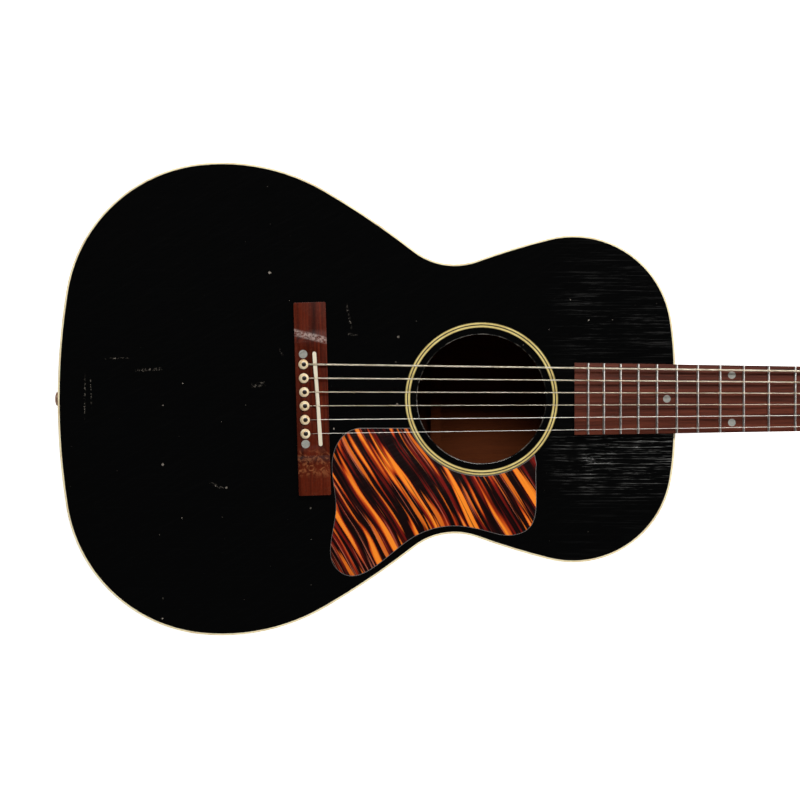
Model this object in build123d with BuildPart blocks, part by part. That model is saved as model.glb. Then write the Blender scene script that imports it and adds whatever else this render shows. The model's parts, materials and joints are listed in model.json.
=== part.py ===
from build123d import *
import math
import os

# Flat-top acoustic guitar, in millimetres.
#
# Everything is drawn in the bench frame: x runs from the tail to the headstock, y to the bass
# side and z out of the soundboard, with z = 0 on its top face and x = 0 at the tail. At the end
# all pieces are laid down together, so that the back rests on z = 0 and the origin lies under
# the middle of the guitar.

# Body outline, as tangent arcs from the tail round to the neck: radius and clockwise turn
outline_arcs = ((545, 9), (121, 75), (162, 36), (616, 8), (52, -58), (568, 6), (79, 95), (264, 9))
tail_depth = 108.0
neck_depth = 89.0
back_radius = 3660.0
top_thickness = 3.0
back_thickness = 2.6
side_thickness = 2.2
binding_thickness = 1.5
binding_height = 6.0
binding_round = 0.7
lining_width = 6.0
lining_height = 14.0

# Blocks inside the body
tail_block_length = 18.0
tail_block_width = 75.0
neck_block_length = 58.0
neck_block_width = 84.0
tenon_length = 18.0
tenon_root = 20.0
tenon_tip = 30.0
tenon_top = 7.0
tenon_bottom = 74.0
end_pin_radius = 4.0
end_pin_length = 15.0
end_pin_flange = 6.2
end_pin_head = 5.5
end_pin_reach = 4.0

# Soundhole, rosette and pickguard
hole_x = 336.0
hole_radius = 51.0
hole_round = 0.9
rosette_radii = (56.45, 58.25, 59.0, 60.8)
rosette_depth = 1.2
guard_thickness = 1.0
guard_gap = 0.15

# Strings, from the first (thin, treble) to the sixth (thick, bass)
string_count = 6
string_diameters = (0.30, 0.41, 0.61, 0.81, 1.07, 1.35)
string_pitch_saddle = 10.94
string_pitch_nut = 7.34
ball_radius = 1.95
ball_length = 3.2

# Bridge, turned so that its bass end lies nearer the tail
bridge_x = 201.9
bridge_turn = 1.64
bridge_length = 153.0
bridge_width = 25.4
bridge_height = 8.8
wing_height = 4.8
ramp_top = 45.0
ramp_foot = 57.0
pin_row = -6.2
pin_pitch = 11.0
pin_hole_radius = 2.65
pin_radius = 2.6
pin_tip_radius = 2.3
pin_length = 24.0
pin_head_radius = 3.9
pin_head_gap = 0.3
pin_dome = 2.0
flute_floor = 0.9
flute_width = 1.9
string_in_flute = 1.75
bolt_spread = 35.6
bolt_radius = 2.0
bolt_head_radius = 3.35
bolt_nut_radius = 4.0
pearl_thickness = 1.6

saddle_x = 206.1
saddle_turn = 4.0
saddle_length = 75.0
saddle_thickness = 3.0
saddle_floor = 3.8
saddle_height = 11.4

# Neck and fingerboard
scale_length = 628.65
nut_x = 839.2
nut_thickness = 5.5
nut_width = 43.5
board_taper = 0.0319
board_end = 409.7
board_thickness = 6.0
board_radius = 406.0
fret_count = 19
fret_width = 2.0
fret_height = 1.1
fret_tang = 0.55
fret_tang_depth = 2.0
fret_inset = 0.3
nut_clearance = 0.35
dot_radius = 3.0
dot_spread = 18.8
single_dots = (3, 5, 7, 9, 15)
double_dot = 12
shaft_end = 848.0
heel_cap_thickness = 2.0
rod_radius = 2.4
rod_bore = 2.5
rod_height = -8.5
rod_start = 506.0
rod_nut_radius = 3.6

# Headstock, in its own plane: u runs to the tip, v to the bass side, w out of its face
head_angle = 15.0
head_length = 176.0
head_thickness = 14.5
head_root_width = 45.0
head_wide_start = 30.0
head_wide = 66.0
head_shoulder = 164.0
head_top_width = 72.0
veneer_thickness = 2.0
pocket_width = 11.0
pocket_length = 26.0
pocket_depth = 11.5
cover_thickness = 2.0

# Tuners: three on a plate on each side, with a worm that turns a worm wheel on the post
post_u = (48.0, 88.0, 128.0)
post_v = 21.0
post_radius = 3.0
post_waist = 2.7
post_seat = 2.0
winding_gap = 0.1
running_gap = 0.05
post_top = 16.0
string_hole_height = 9.5
string_hole_radius = 0.9
bushing_radius = 4.6
bushing_flange = 5.6
bushing_depth = 7.0
plate_thickness = 1.0
plate_width = 17.0
plate_length = 120.0
plate_middle = 89.0
wheel_teeth = 14
wheel_module = 0.7
wheel_thickness = 3.0
worm_root = 1.6
worm_pitch_radius = 2.25
worm_outer = 2.85
worm_turns = 4
worm_drop = 18.7
worm_tail = 8.4
worm_shaft_length = 34.4
collar_radius = 3.8
waist_foot = 2.2
waist_height = 12.4
taper = 1.0
tip_rise = 1.2
post_screw_radius = 2.6
post_screw_height = 1.2
post_screw_slot = 0.7
mesh_gap = 0.1
tab_thickness = 1.2
tab_width = 6.4
tab_spread = 6.4
button_start = 41.0
button_length = 19.0
button_width = 16.0
button_thickness = 7.6
button_round = 2.6
button_neck = 3.0
plate_screws = (34.0, 68.0, 108.0, 144.0)
cover_screws = ((7.0, 7.7), (7.0, -7.7), (38.0, 0.0))
cover_half_width = 10.5
screw_radius = 1.1
screw_length = 9.0
screw_head_radius = 2.3
screw_head_height = 1.2

# Braces under the top: ends, width and height of each bar
cross_brace = (256.0, 0.0)
x_brace_turn = 49.0
brace_width = 8.0
brace_height = 13.0
plate_long = 165.0
plate_wide = 34.0
bridge_plate_thickness = 2.5
tone_bars = (((188.0, -78.0), (92.0, 62.0)), ((150.0, -112.0), (52.0, 16.0)))
finger_braces = (
    ((298.0, 68.0), (262.0, 98.0)),
    ((258.0, 34.0), (228.0, 92.0)),
    ((298.0, -68.0), (262.0, -98.0)),
    ((258.0, -34.0), (228.0, -92.0)),
)
upper_brace_x = 412.0
back_brace_x = (62.0, 165.0, 300.0, 405.0)


def half_board_width(x):
    """Half the width of the fingerboard at x."""
    return (nut_width + board_taper * (nut_x - x)) / 2


def fret_place(number):
    """x of a fret on the equal-tempered scale."""
    return nut_x - scale_length * (1 - 2 ** (-number / 12))


def cap_middle(radius, rise):
    """Point halfway along a round cap: distance from its axis and height above its rim."""
    ball = (radius ** 2 + rise ** 2) / (2 * rise)
    half = math.asin(radius / ball) / 2
    return ball * math.sin(half), rise - ball * (1 - math.cos(half))


def body_outline(inset, mode=Mode.ADD):
    """Face inside the body outline moved inward by inset, in the current sketch."""
    with BuildLine() as edge:
        corner = Vector(inset, 0)
        heading = Vector(0, 1)
        for radius, turn in outline_arcs:
            bend = radius - inset if turn > 0 else radius + inset
            arc = JernArc(corner, heading, bend, -turn)
            corner = arc @ 1
            heading = arc % 1
        Line(corner, (corner.X, 0))
        mirror(about=Plane.XZ)
    make_face(edge.edges(), mode=mode)


def rim(outer, inner, top, bottom, mode=Mode.ADD):
    """Band that follows the body outline between two insets and two heights."""
    with BuildSketch(Plane.XY.offset(top)) as band:
        body_outline(outer)
        body_outline(inner, mode=Mode.SUBTRACT)
    extrude(band.sketch, amount=bottom - top, mode=mode)


with BuildSketch() as footprint:
    body_outline(0)
body_length = footprint.sketch.bounding_box().max.X

# The back is a shallow arch across the body, straight along its spine
back_tilt = math.degrees(math.atan2(tail_depth - neck_depth, body_length))
spine = Vector(1, 0, 0).rotate(Axis.Y, -back_tilt)
spine_plane = Plane(origin=(0, 0, -tail_depth), x_dir=spine, z_dir=spine.rotate(Axis.Y, -90))
arch_centre = spine_plane.from_local_coords((body_length / 2, 0, back_radius))
arch_plane = Plane(origin=arch_centre, x_dir=(0, 1, 0), z_dir=spine)
body_floor = -tail_depth - 10
tail_pin_plane = Plane(origin=(0, 0, -tail_depth / 2), x_dir=(0, 1, 0), z_dir=(-1, 0, 0))


def back_arch(depth, mode):
    """Cylinder whose lowest line is the spine of the back, moved into the body by depth."""
    with Locations(arch_plane):
        Cylinder(back_radius - depth, 3 * body_length, mode=mode)


# Frames of the bridge, the saddle and the headstock
forward = Vector(1, 0, 0)
bridge_plane = Plane(origin=(bridge_x, 0, 0), x_dir=forward.rotate(Axis.Z, bridge_turn), z_dir=(0, 0, 1))
saddle_plane = Plane(origin=(saddle_x, 0, 0), x_dir=forward.rotate(Axis.Z, saddle_turn), z_dir=(0, 0, 1))
head_along = forward.rotate(Axis.Y, head_angle)
head_out = Vector(0, 0, 1).rotate(Axis.Y, head_angle)
head_plane = Plane(origin=(nut_x + nut_thickness, 0, 0), x_dir=head_along, z_dir=head_out)
string_numbers = range(1, string_count + 1)


def string_offset(number):
    """How many string pitches a string lies to the bass side of the middle."""
    return number - (string_count + 1) / 2


pin_spots = [
    bridge_plane.from_local_coords((pin_row, string_offset(number) * pin_pitch, 0)) for number in string_numbers
]
bolt_spots = [bridge_plane.from_local_coords((pin_row, side * bolt_spread, 0)) for side in (-1, 1)]


def tuner_spot(number):
    """Place of a string's post in the headstock plane: u, v and the side it is on."""
    side = 1 if number > string_count / 2 else -1
    row = number - 1 if side < 0 else string_count - number
    return post_u[row], side * post_v, side


def tuner_plane(number):
    """Frame of a string's post: x to the headstock's tip and z out of its face."""
    u, v, side = tuner_spot(number)
    return Plane(origin=headstock_point(u, v, 0), x_dir=head_along, z_dir=head_out)


def key_plane(number):
    """Frame of the worm beside a post: z runs outward along the shaft to the button."""
    u, v, side = tuner_spot(number)
    between_axes = wheel_module * wheel_teeth / 2 + worm_pitch_radius + mesh_gap
    middle = headstock_point(u + between_axes, v, -worm_drop)
    return Plane(origin=middle, x_dir=head_along, z_dir=(0, side, 0))


def tab_align(side):
    """Alignment of a bent-up tab, so that it reaches from the worm's axis to the plate."""
    toward_plate = Align.MAX if side > 0 else Align.MIN
    return (Align.CENTER, toward_plate, Align.CENTER)


def headstock_point(u, v, w):
    """Point in the bench frame of a place given in the headstock plane."""
    return head_plane.from_local_coords((u, v, w))


back_face = -head_thickness - plate_thickness
plate_screw_planes = [
    Plane(origin=headstock_point(u, side * post_v, back_face), x_dir=head_along, z_dir=-head_out)
    for side in (-1, 1) for u in plate_screws
]
cover_screw_planes = [
    Plane(origin=headstock_point(u, v, cover_thickness), x_dir=head_along, z_dir=head_out)
    for u, v in cover_screws
]

# ---- Body ------------------------------------------------------------------------------------

with BuildPart() as soundboard:
    with BuildSketch():
        body_outline(binding_thickness)
        with Locations((hole_x, 0)):
            Circle(hole_radius, mode=Mode.SUBTRACT)
    extrude(amount=-top_thickness)
    hole_edges = soundboard.edges().filter_by(lambda e: e.geom_type == GeomType.CIRCLE and e.is_closed)
    fillet(hole_edges.sort_by(Axis.Z)[-1], hole_round)
    with BuildSketch():
        with Locations((hole_x, 0)):
            Circle(rosette_radii[-1])
            Circle(rosette_radii[0], mode=Mode.SUBTRACT)
    extrude(amount=-rosette_depth, mode=Mode.SUBTRACT)
    with Locations(pin_spots):
        Cylinder(pin_hole_radius, 4 * top_thickness, mode=Mode.SUBTRACT)
    with Locations(bolt_spots):
        Cylinder(bolt_radius, 4 * top_thickness, mode=Mode.SUBTRACT)
    split(bisect_by=Plane.XZ, keep=Keep.BOTH)
soundboard.part.label = "soundboard"

with BuildPart() as binding_back:
    rim(0, binding_thickness, -neck_depth / 2, body_floor)
    back_arch(0, Mode.INTERSECT)
    back_arch(binding_height, Mode.SUBTRACT)

with BuildPart() as binding_top:
    rim(0, binding_thickness, 0, -binding_height)
    outer_edges = binding_top.faces().sort_by(Axis.Z)[-1].outer_wire().edges()
    fillet(outer_edges, binding_round)
bindings = Compound(label="bindings", children=[binding_top.part.solid(), binding_back.part.solid()])

with BuildPart() as back:
    with BuildSketch(Plane.XY.offset(-neck_depth / 2)):
        body_outline(binding_thickness)
    extrude(amount=body_floor + neck_depth / 2)
    back_arch(0, Mode.INTERSECT)
    back_arch(back_thickness, Mode.SUBTRACT)
    split(bisect_by=Plane.XZ, keep=Keep.BOTH)
back.part.label = "back"

# Dovetail that joins the neck to the body: the same shape is cut out of the block
tenon_points = (
    (body_length, tenon_root / 2),
    (body_length - tenon_length, tenon_tip / 2),
    (body_length - tenon_length, -tenon_tip / 2),
    (body_length, -tenon_root / 2),
)


def dovetail(mode):
    """Wedge-shaped tenon under the soundboard at the neck end of the body."""
    with BuildSketch(Plane.XY.offset(-tenon_top)) as wedge:
        Polygon(*tenon_points, align=None)
    extrude(wedge.sketch, amount=tenon_top - tenon_bottom, mode=mode)


with BuildPart() as side_bass:
    rim(0, side_thickness, -top_thickness, body_floor)
    back_arch(back_thickness, Mode.INTERSECT)
    add(binding_back.part, mode=Mode.SUBTRACT)
    rim(0, binding_thickness, -top_thickness, -binding_height, Mode.SUBTRACT)
    dovetail(Mode.SUBTRACT)
    with Locations(tail_pin_plane):
        Cylinder(end_pin_radius, 20, mode=Mode.SUBTRACT)
    split(bisect_by=Plane.XZ, keep=Keep.BOTTOM)
side_bass.part.label = "side_bass"

with BuildPart() as side_treble:
    mirror(side_bass.part, about=Plane.XZ)
side_treble.part.label = "side_treble"


with BuildPart() as tail_block:
    with BuildSketch(Plane.XY.offset(-top_thickness)):
        body_outline(side_thickness)
        with Locations((0, 0)):
            Rectangle(2 * (tail_block_length + side_thickness), tail_block_width, mode=Mode.INTERSECT)
    extrude(amount=body_floor + top_thickness)
    back_arch(back_thickness, Mode.INTERSECT)
    with Locations(tail_pin_plane):
        Cylinder(end_pin_radius, 100, mode=Mode.SUBTRACT)
tail_block.part.label = "tail_block"

with BuildPart() as neck_block:
    with BuildSketch(Plane.XY.offset(-top_thickness)):
        body_outline(side_thickness)
        with Locations((body_length, 0)):
            Rectangle(2 * neck_block_length, neck_block_width, mode=Mode.INTERSECT)
    extrude(amount=body_floor + top_thickness)
    back_arch(back_thickness, Mode.INTERSECT)
    dovetail(Mode.SUBTRACT)
neck_block.part.label = "neck_block"


def clear_blocks():
    """Cut the space of the two blocks out of the current part."""
    with Locations((0, 0, -tail_depth / 2)):
        Box(2 * (tail_block_length + side_thickness), tail_block_width, 3 * tail_depth, mode=Mode.SUBTRACT)
    with Locations((body_length, 0, -tail_depth / 2)):
        Box(2 * neck_block_length, neck_block_width, 3 * tail_depth, mode=Mode.SUBTRACT)


lining_inset = side_thickness + lining_width
with BuildPart() as back_linings:
    rim(side_thickness, lining_inset, -neck_depth / 2, body_floor)
    back_arch(back_thickness, Mode.INTERSECT)
    back_arch(back_thickness + lining_height, Mode.SUBTRACT)
    clear_blocks()
with BuildPart() as linings:
    rim(side_thickness, lining_inset, -top_thickness, -top_thickness - lining_height)
    clear_blocks()
    add(back_linings.part)
linings.part.label = "linings"

rosette_rings = []
for inner, outer in zip(rosette_radii, rosette_radii[1:]):
    with BuildPart() as rosette_ring:
        with BuildSketch():
            with Locations((hole_x, 0)):
                Circle(outer)
                Circle(inner, mode=Mode.SUBTRACT)
        extrude(amount=-rosette_depth)
    rosette_rings.append(rosette_ring.part.solid())
rosette = Compound(label="rosette", children=rosette_rings)

guard_reach = rosette_radii[-1] + guard_gap
guard_points = (
    (240, -23), (229.6, -26.4), (222.4, -34), (217.4, -50), (220.4, -86), (216.2, -116), (218.2, -131),
    (229, -140), (253.6, -131.7), (285.6, -107.8), (313.4, -100.9), (340.6, -105.2),
    (358.8, -108.4), (374, -102.4), (379.6, -84), (379.8, -52),
)
with BuildPart() as pickguard:
    with BuildSketch():
        with BuildLine():
            top_edge = Line((284, -23), guard_points[0])
            Spline(*guard_points)
            Polyline(guard_points[-1], (377, -38), top_edge @ 0)
        make_face()
        with Locations((hole_x, 0)):
            Circle(guard_reach, mode=Mode.SUBTRACT)
    extrude(amount=guard_thickness)
pickguard.part.label = "pickguard"


def brace(start, end, width, height, top=-top_thickness, tip=3.5, run=34.0):
    """Bar glued under the soundboard between two points, with its ends cut down to thin tips."""
    along = Vector(*end) - Vector(*start)
    plane = Plane(origin=(start[0], start[1], top), x_dir=along, z_dir=along.cross(Vector(0, 0, 1)))
    slope = min(run, along.length / 3)
    profile = (
        (0, 0), (0, -tip), (slope, -height), (along.length - slope, -height),
        (along.length, -tip), (along.length, 0),
    )
    with BuildSketch(plane) as side_view:
        Polygon(*profile, align=None)
    extrude(side_view.sketch, amount=width / 2, both=True)


def brace_ends(centre, turn, ahead, behind):
    """Ends of a bar through a centre at an angle to the x axis."""
    direction = Vector(1, 0).rotate(Axis.Z, turn)
    middle = Vector(*centre)
    far = middle + direction * ahead
    near = middle - direction * behind
    return (near.X, near.Y), (far.X, far.Y)


def x_bar(turn):
    """One leg of the X-brace."""
    near, far = brace_ends(cross_brace, turn, 190, 200)
    brace(near, far, brace_width, brace_height, run=60)


def inside_top(inset):
    """Keep what lies inside the body outline moved inward."""
    with BuildSketch() as inner_face:
        body_outline(inset)
    extrude(inner_face.sketch, amount=-60, mode=Mode.INTERSECT)


with BuildPart() as x_leg_two:
    x_bar(-x_brace_turn)
    inside_top(lining_inset + 1)
with BuildPart() as x_leg_one:
    x_bar(x_brace_turn)
    inside_top(lining_inset + 1)
with BuildPart() as lap_upper:
    add(x_leg_one.part)
    add(x_leg_two.part, mode=Mode.INTERSECT)
    with Locations((cross_brace[0], 0, -top_thickness - brace_height)):
        Box(60, 60, brace_height, mode=Mode.SUBTRACT)
with BuildPart() as lap_lower:
    add(x_leg_one.part)
    add(x_leg_two.part, mode=Mode.INTERSECT)
    add(lap_upper.part, mode=Mode.SUBTRACT)
with BuildPart() as x_one:
    add(x_leg_one.part)
    add(lap_upper.part, mode=Mode.SUBTRACT)
with BuildPart() as x_two:
    add(x_leg_two.part)
    add(lap_lower.part, mode=Mode.SUBTRACT)

with BuildPart() as bridge_plate:
    with BuildSketch(Plane.XY.offset(-top_thickness)):
        with Locations((bridge_x - 4, 0)):
            Rectangle(plate_wide, plate_long)
    extrude(amount=-bridge_plate_thickness)
    add(x_leg_one.part, mode=Mode.SUBTRACT)
    add(x_leg_two.part, mode=Mode.SUBTRACT)
    with Locations(pin_spots):
        Cylinder(pin_hole_radius, 60, mode=Mode.SUBTRACT)
    with Locations(bolt_spots):
        Cylinder(bolt_radius, 60, mode=Mode.SUBTRACT)
between_legs = bridge_plate.part.solids().sort_by(SortBy.VOLUME)[-1]
between_legs.label = "bridge_plate"

with BuildPart() as small_bars:
    for start, end in tone_bars:
        brace(start, end, brace_width, brace_height, run=50)
    for start, end in finger_braces:
        brace(start, end, brace_width, brace_height - 4, tip=2)
    brace((upper_brace_x, -135), (upper_brace_x, 135), brace_width + 4, brace_height + 2)
    inside_top(lining_inset + 1)
    add(x_leg_one.part, mode=Mode.SUBTRACT)
    add(x_leg_two.part, mode=Mode.SUBTRACT)
    add(bridge_plate.part, mode=Mode.SUBTRACT)
top_bars = [x_one.part.solid(), x_two.part.solid(), *small_bars.part.solids()]
soundboard_braces = Compound(label="soundboard_braces", children=top_bars)

back_brace_height = 11.0
with BuildPart() as back_bars:
    for place in back_brace_x:
        with Locations((place, 0, -tail_depth / 2)):
            Box(brace_width, 2 * tail_depth + 200, 2 * tail_depth)
    back_arch(back_thickness, Mode.INTERSECT)
    back_arch(back_thickness + back_brace_height, Mode.SUBTRACT)
    with BuildSketch(Plane.XY.offset(-10)) as inner_space:
        body_outline(lining_inset + 1)
    extrude(inner_space.sketch, amount=-3 * tail_depth, mode=Mode.INTERSECT)
back_bars.part.label = "back_braces"

# ---- Bridge ----------------------------------------------------------------------------------


def along_string(start, end, radius, mode=Mode.SUBTRACT):
    """Round-bottomed groove, open upward, that follows a string from start to end."""
    run = end - start
    plane = Plane(origin=start, x_dir=(0, 1, 0), z_dir=run)
    with BuildSketch(plane) as slot:
        Circle(radius)
        Rectangle(2 * radius, 4, align=(Align.CENTER, Align.MIN))
    extrude(slot.sketch, amount=run.length, mode=mode)


def string_radius(number):
    """Radius of a string."""
    return string_diameters[number - 1] / 2


def nut_point(number):
    """Where the middle of a string bends over the nut."""
    y = string_offset(number) * string_pitch_nut
    z = board_thickness + fret_height + nut_clearance - y ** 2 / (2 * board_radius) + string_radius(number)
    return Vector(nut_x + 1.6, y, z)


def saddle_point(number):
    """Where the middle of a string bends over the saddle."""
    y = string_offset(number) * string_pitch_saddle
    x = saddle_x - y * math.tan(math.radians(saddle_turn))
    z = saddle_height - y ** 2 / (2 * board_radius) + string_radius(number)
    return Vector(x, y, z)


def flute_point(number, z):
    """Where a string lies in the flute of its pin, at height z."""
    spot = pin_spots[number - 1]
    return Vector(spot.X + string_in_flute, spot.Y, z)


string_bend_height = bridge_height - 1.5
bridge_profile = (
    (bridge_length / 2, 0), (bridge_length / 2, wing_height - 0.4), (ramp_foot, wing_height),
)
with BuildPart() as bridge:
    with BuildSketch(Plane(origin=bridge_plane.origin, x_dir=bridge_plane.y_dir, z_dir=bridge_plane.x_dir)):
        with BuildLine():
            wing = Polyline(*bridge_profile)
            ramp = TangentArc(wing @ 1, (ramp_top, bridge_height), tangent=(-1, 0))
            Line(ramp @ 1, (0, bridge_height))
            mirror(about=Plane.YZ)
            Line((-bridge_length / 2, 0), (bridge_length / 2, 0))
        make_face()
    extrude(amount=bridge_width / 2, both=True)
    upright = bridge.edges().filter_by(Axis.Z)
    fillet(upright, 1.2)
    with Locations(pin_spots):
        Cylinder(pin_hole_radius, 60, mode=Mode.SUBTRACT)
    with Locations(bolt_spots):
        Cylinder(bolt_radius, 60, mode=Mode.SUBTRACT)
    with Locations([spot + Vector(0, 0, bridge_height) for spot in bolt_spots]):
        Cylinder(bolt_head_radius, 2 * (pearl_thickness + 1.5), mode=Mode.SUBTRACT)
    with BuildSketch(saddle_plane.offset(saddle_floor)):
        SlotOverall(saddle_length, saddle_thickness, rotation=90)
    extrude(amount=20, mode=Mode.SUBTRACT)
    for number in string_numbers:
        bend = flute_point(number, string_bend_height)
        along_string(bend, saddle_point(number), string_radius(number) + 0.15)
bridge.part.label = "bridge"

with BuildPart() as saddle:
    with BuildSketch(saddle_plane.offset(saddle_floor)):
        SlotOverall(saddle_length, saddle_thickness, rotation=90)
    extrude(amount=saddle_height - saddle_floor)
    crown_edges = saddle.faces().sort_by(Axis.Z)[-1].edges()
    fillet(crown_edges, 1.0)
    crown_axis = Plane(origin=(saddle_x, 0, saddle_height - board_radius), z_dir=(1, 0, 0))
    with Locations(crown_axis):
        Cylinder(board_radius, 60, mode=Mode.INTERSECT)
saddle.part.label = "saddle"

bridge_pins = []
for number in string_numbers:
    spot = pin_spots[number - 1]
    head_foot = bridge_height + pin_head_gap
    with BuildPart() as bridge_pin:
        with BuildSketch(Plane.XZ.offset(-spot.Y)):
            with BuildLine():
                shank = Polyline(
                    (spot.X, head_foot - pin_length),
                    (spot.X + pin_tip_radius - 0.6, head_foot - pin_length),
                    (spot.X + pin_tip_radius, head_foot - pin_length + 0.6),
                    (spot.X + pin_radius, -top_thickness), (spot.X + pin_radius, head_foot),
                    (spot.X + pin_head_radius - 0.5, head_foot),
                    (spot.X + pin_head_radius, head_foot + 0.6),
                )
                across, rise = cap_middle(pin_head_radius, pin_dome)
                dome_middle = (spot.X + across, head_foot + 0.6 + rise)
                dome = ThreePointArc(shank @ 1, dome_middle, (spot.X, head_foot + 0.6 + pin_dome))
                Line(dome @ 1, shank @ 0)
            make_face()
        revolve(axis=Axis((spot.X, spot.Y, 0), (0, 0, 1)))
        with Locations((spot.X + flute_floor, spot.Y, head_foot)):
            Box(6, flute_width, 60, align=(Align.MIN, Align.CENTER, Align.MAX), mode=Mode.SUBTRACT)
        with Locations((spot.X + flute_floor, spot.Y, -top_thickness - bridge_plate_thickness + 0.3)):
            Box(6, 10, 60, align=(Align.MIN, Align.CENTER, Align.MAX), mode=Mode.SUBTRACT)
    bridge_pin.part.label = f"bridge_pin_{number}"
    bridge_pins.append(bridge_pin.part)

bolt_foot = -top_thickness - bridge_plate_thickness
with BuildPart() as bridge_bolts:
    bolt_top = bridge_height - pearl_thickness
    for spot in bolt_spots:
        with Locations((spot.X, spot.Y, bolt_top)):
            Cylinder(bolt_head_radius, 1.5, align=(Align.CENTER, Align.CENTER, Align.MAX))
            Cylinder(bolt_radius, bolt_top - bolt_foot + 5, align=(Align.CENTER, Align.CENTER, Align.MAX))
        with Locations((spot.X, spot.Y, bolt_foot)):
            Cylinder(5.5, 0.8, align=(Align.CENTER, Align.CENTER, Align.MAX))
        with BuildSketch(Plane.XY.offset(bolt_foot - 0.8)):
            with Locations((spot.X, spot.Y)):
                RegularPolygon(bolt_nut_radius, 6)
        extrude(amount=-3.2)
bridge_bolts.part.label = "bridge_bolts"

# ---- Neck ------------------------------------------------------------------------------------

board_tail_width = half_board_width(board_end)
board_nut_width = half_board_width(nut_x)
board_plan = (
    (board_end, board_tail_width), (nut_x, board_nut_width),
    (nut_x, -board_nut_width), (board_end, -board_tail_width),
)
board_axis = Plane(origin=(nut_x, 0, board_thickness - board_radius), z_dir=(1, 0, 0))


def fret_plane(place, turn):
    """Plane across a fret at an angle from the middle of the board, with y out of the board."""
    outward = Vector(0, math.sin(math.radians(turn)), math.cos(math.radians(turn)))
    centre = Vector(place, 0, board_thickness - board_radius)
    along = Vector(1, 0, 0)
    return Plane(origin=centre + outward * board_radius, x_dir=along, z_dir=along.cross(outward))


fret_solids = []
fret_slots = []
for number in range(1, fret_count + 1):
    place = fret_place(number)
    half_turn = math.degrees(math.asin((half_board_width(place) - fret_inset) / board_radius))
    arc_axis = Axis((place, 0, board_thickness - board_radius), (1, 0, 0))
    with BuildPart() as fret:
        with BuildSketch(fret_plane(place, half_turn)):
            with BuildLine():
                foot = Polyline(
                    (fret_width / 2, 0), (fret_tang / 2, 0), (fret_tang / 2, -fret_tang_depth),
                    (-fret_tang / 2, -fret_tang_depth), (-fret_tang / 2, 0), (-fret_width / 2, 0),
                )
                ThreePointArc(foot @ 1, (0, fret_height), foot @ 0)
            make_face()
        revolve(axis=arc_axis, revolution_arc=2 * half_turn)
    fret_solids.append(fret.part.solid())
    with BuildPart() as slot:
        with BuildSketch(fret_plane(place, half_turn)):
            with Locations((0, -fret_tang_depth)):
                Rectangle(fret_tang, 2 * fret_tang_depth, align=(Align.CENTER, Align.MIN))
        revolve(axis=arc_axis, revolution_arc=2 * half_turn)
    fret_slots.append(slot.part.solid())
frets = Compound(label="frets", children=fret_solids)

dot_spots = [((fret_place(n) + fret_place(n - 1)) / 2, 0) for n in single_dots]
double_x = (fret_place(double_dot) + fret_place(double_dot - 1)) / 2
dot_spots += [(double_x, dot_spread), (double_x, -dot_spread)]
with BuildPart() as fingerboard:
    with BuildSketch():
        Polygon(*board_plan, align=None)
    extrude(amount=board_thickness)
    with Locations(board_axis):
        Cylinder(board_radius, 3 * body_length, mode=Mode.INTERSECT)
    for slot_solid in fret_slots:
        add(slot_solid, mode=Mode.SUBTRACT)
    with Locations([(x, y, board_thickness) for x, y in dot_spots]):
        Cylinder(dot_radius, 2 * pearl_thickness + 1, mode=Mode.SUBTRACT)
fingerboard.part.label = "fingerboard"

with BuildPart() as pearl_dots:
    with Locations([(x, y, board_thickness) for x, y in dot_spots]):
        Cylinder(dot_radius, 2 * pearl_thickness + 1)
    with Locations(board_axis):
        Cylinder(board_radius, 3 * body_length, mode=Mode.INTERSECT)
    with Locations([spot + Vector(0, 0, bridge_height + 0.15) for spot in bolt_spots]):
        Cylinder(bolt_head_radius, pearl_thickness + 0.15, align=(Align.CENTER, Align.CENTER, Align.MAX))
pearl_dots.part.label = "pearl_dots"

with BuildPart() as nut:
    with BuildSketch():
        with Locations((nut_x, 0)):
            Rectangle(nut_thickness, nut_width, align=(Align.MIN, Align.CENTER))
    extrude(amount=board_thickness + 3)
    nut_axis = Plane(origin=(nut_x, 0, board_thickness + 2.0 - board_radius), z_dir=(1, 0, 0))
    with Locations(nut_axis):
        Cylinder(board_radius, 60, mode=Mode.INTERSECT)
    fillet(nut.faces().sort_by(Axis.Z)[-1].edges().filter_by(lambda e: e.length > nut_width / 2), 1.2)
    for number in string_numbers:
        bend = nut_point(number)
        ahead = bend + Vector(10, 0, 0).rotate(Axis.Y, head_angle)
        behind = bend + (saddle_point(number) - bend).normalized() * 6
        along_string(behind, bend, string_radius(number) + 0.02)
        along_string(bend - Vector(0.3, 0, 0), ahead, string_radius(number) + 0.02)
nut.part.label = "nut"


def head_outline(mode=Mode.ADD, start=0.0):
    """Plain paddle with a soft arched top, in the plane of the headstock."""
    with BuildLine() as paddle:
        flank = Line((start, head_root_width / 2), (4, head_root_width / 2))
        flare = Spline(flank @ 1, (head_wide_start, head_wide / 2), tangents=[(1, 0), (1, 0.09)])
        edge = Line(flare @ 1, (head_shoulder, head_top_width / 2))
        crown_foot = (head_length - 3.7, head_top_width / 2 - 9)
        ThreePointArc(edge @ 1, (head_length - 5.7, head_top_width / 2 - 2.8), crown_foot)
        mirror(about=Plane.XZ)
        ThreePointArc(crown_foot, (head_length, 0), (crown_foot[0], -crown_foot[1]))
        Line((start, head_root_width / 2), (start, -head_root_width / 2))
    make_face(paddle.edges(), mode=mode)


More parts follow.
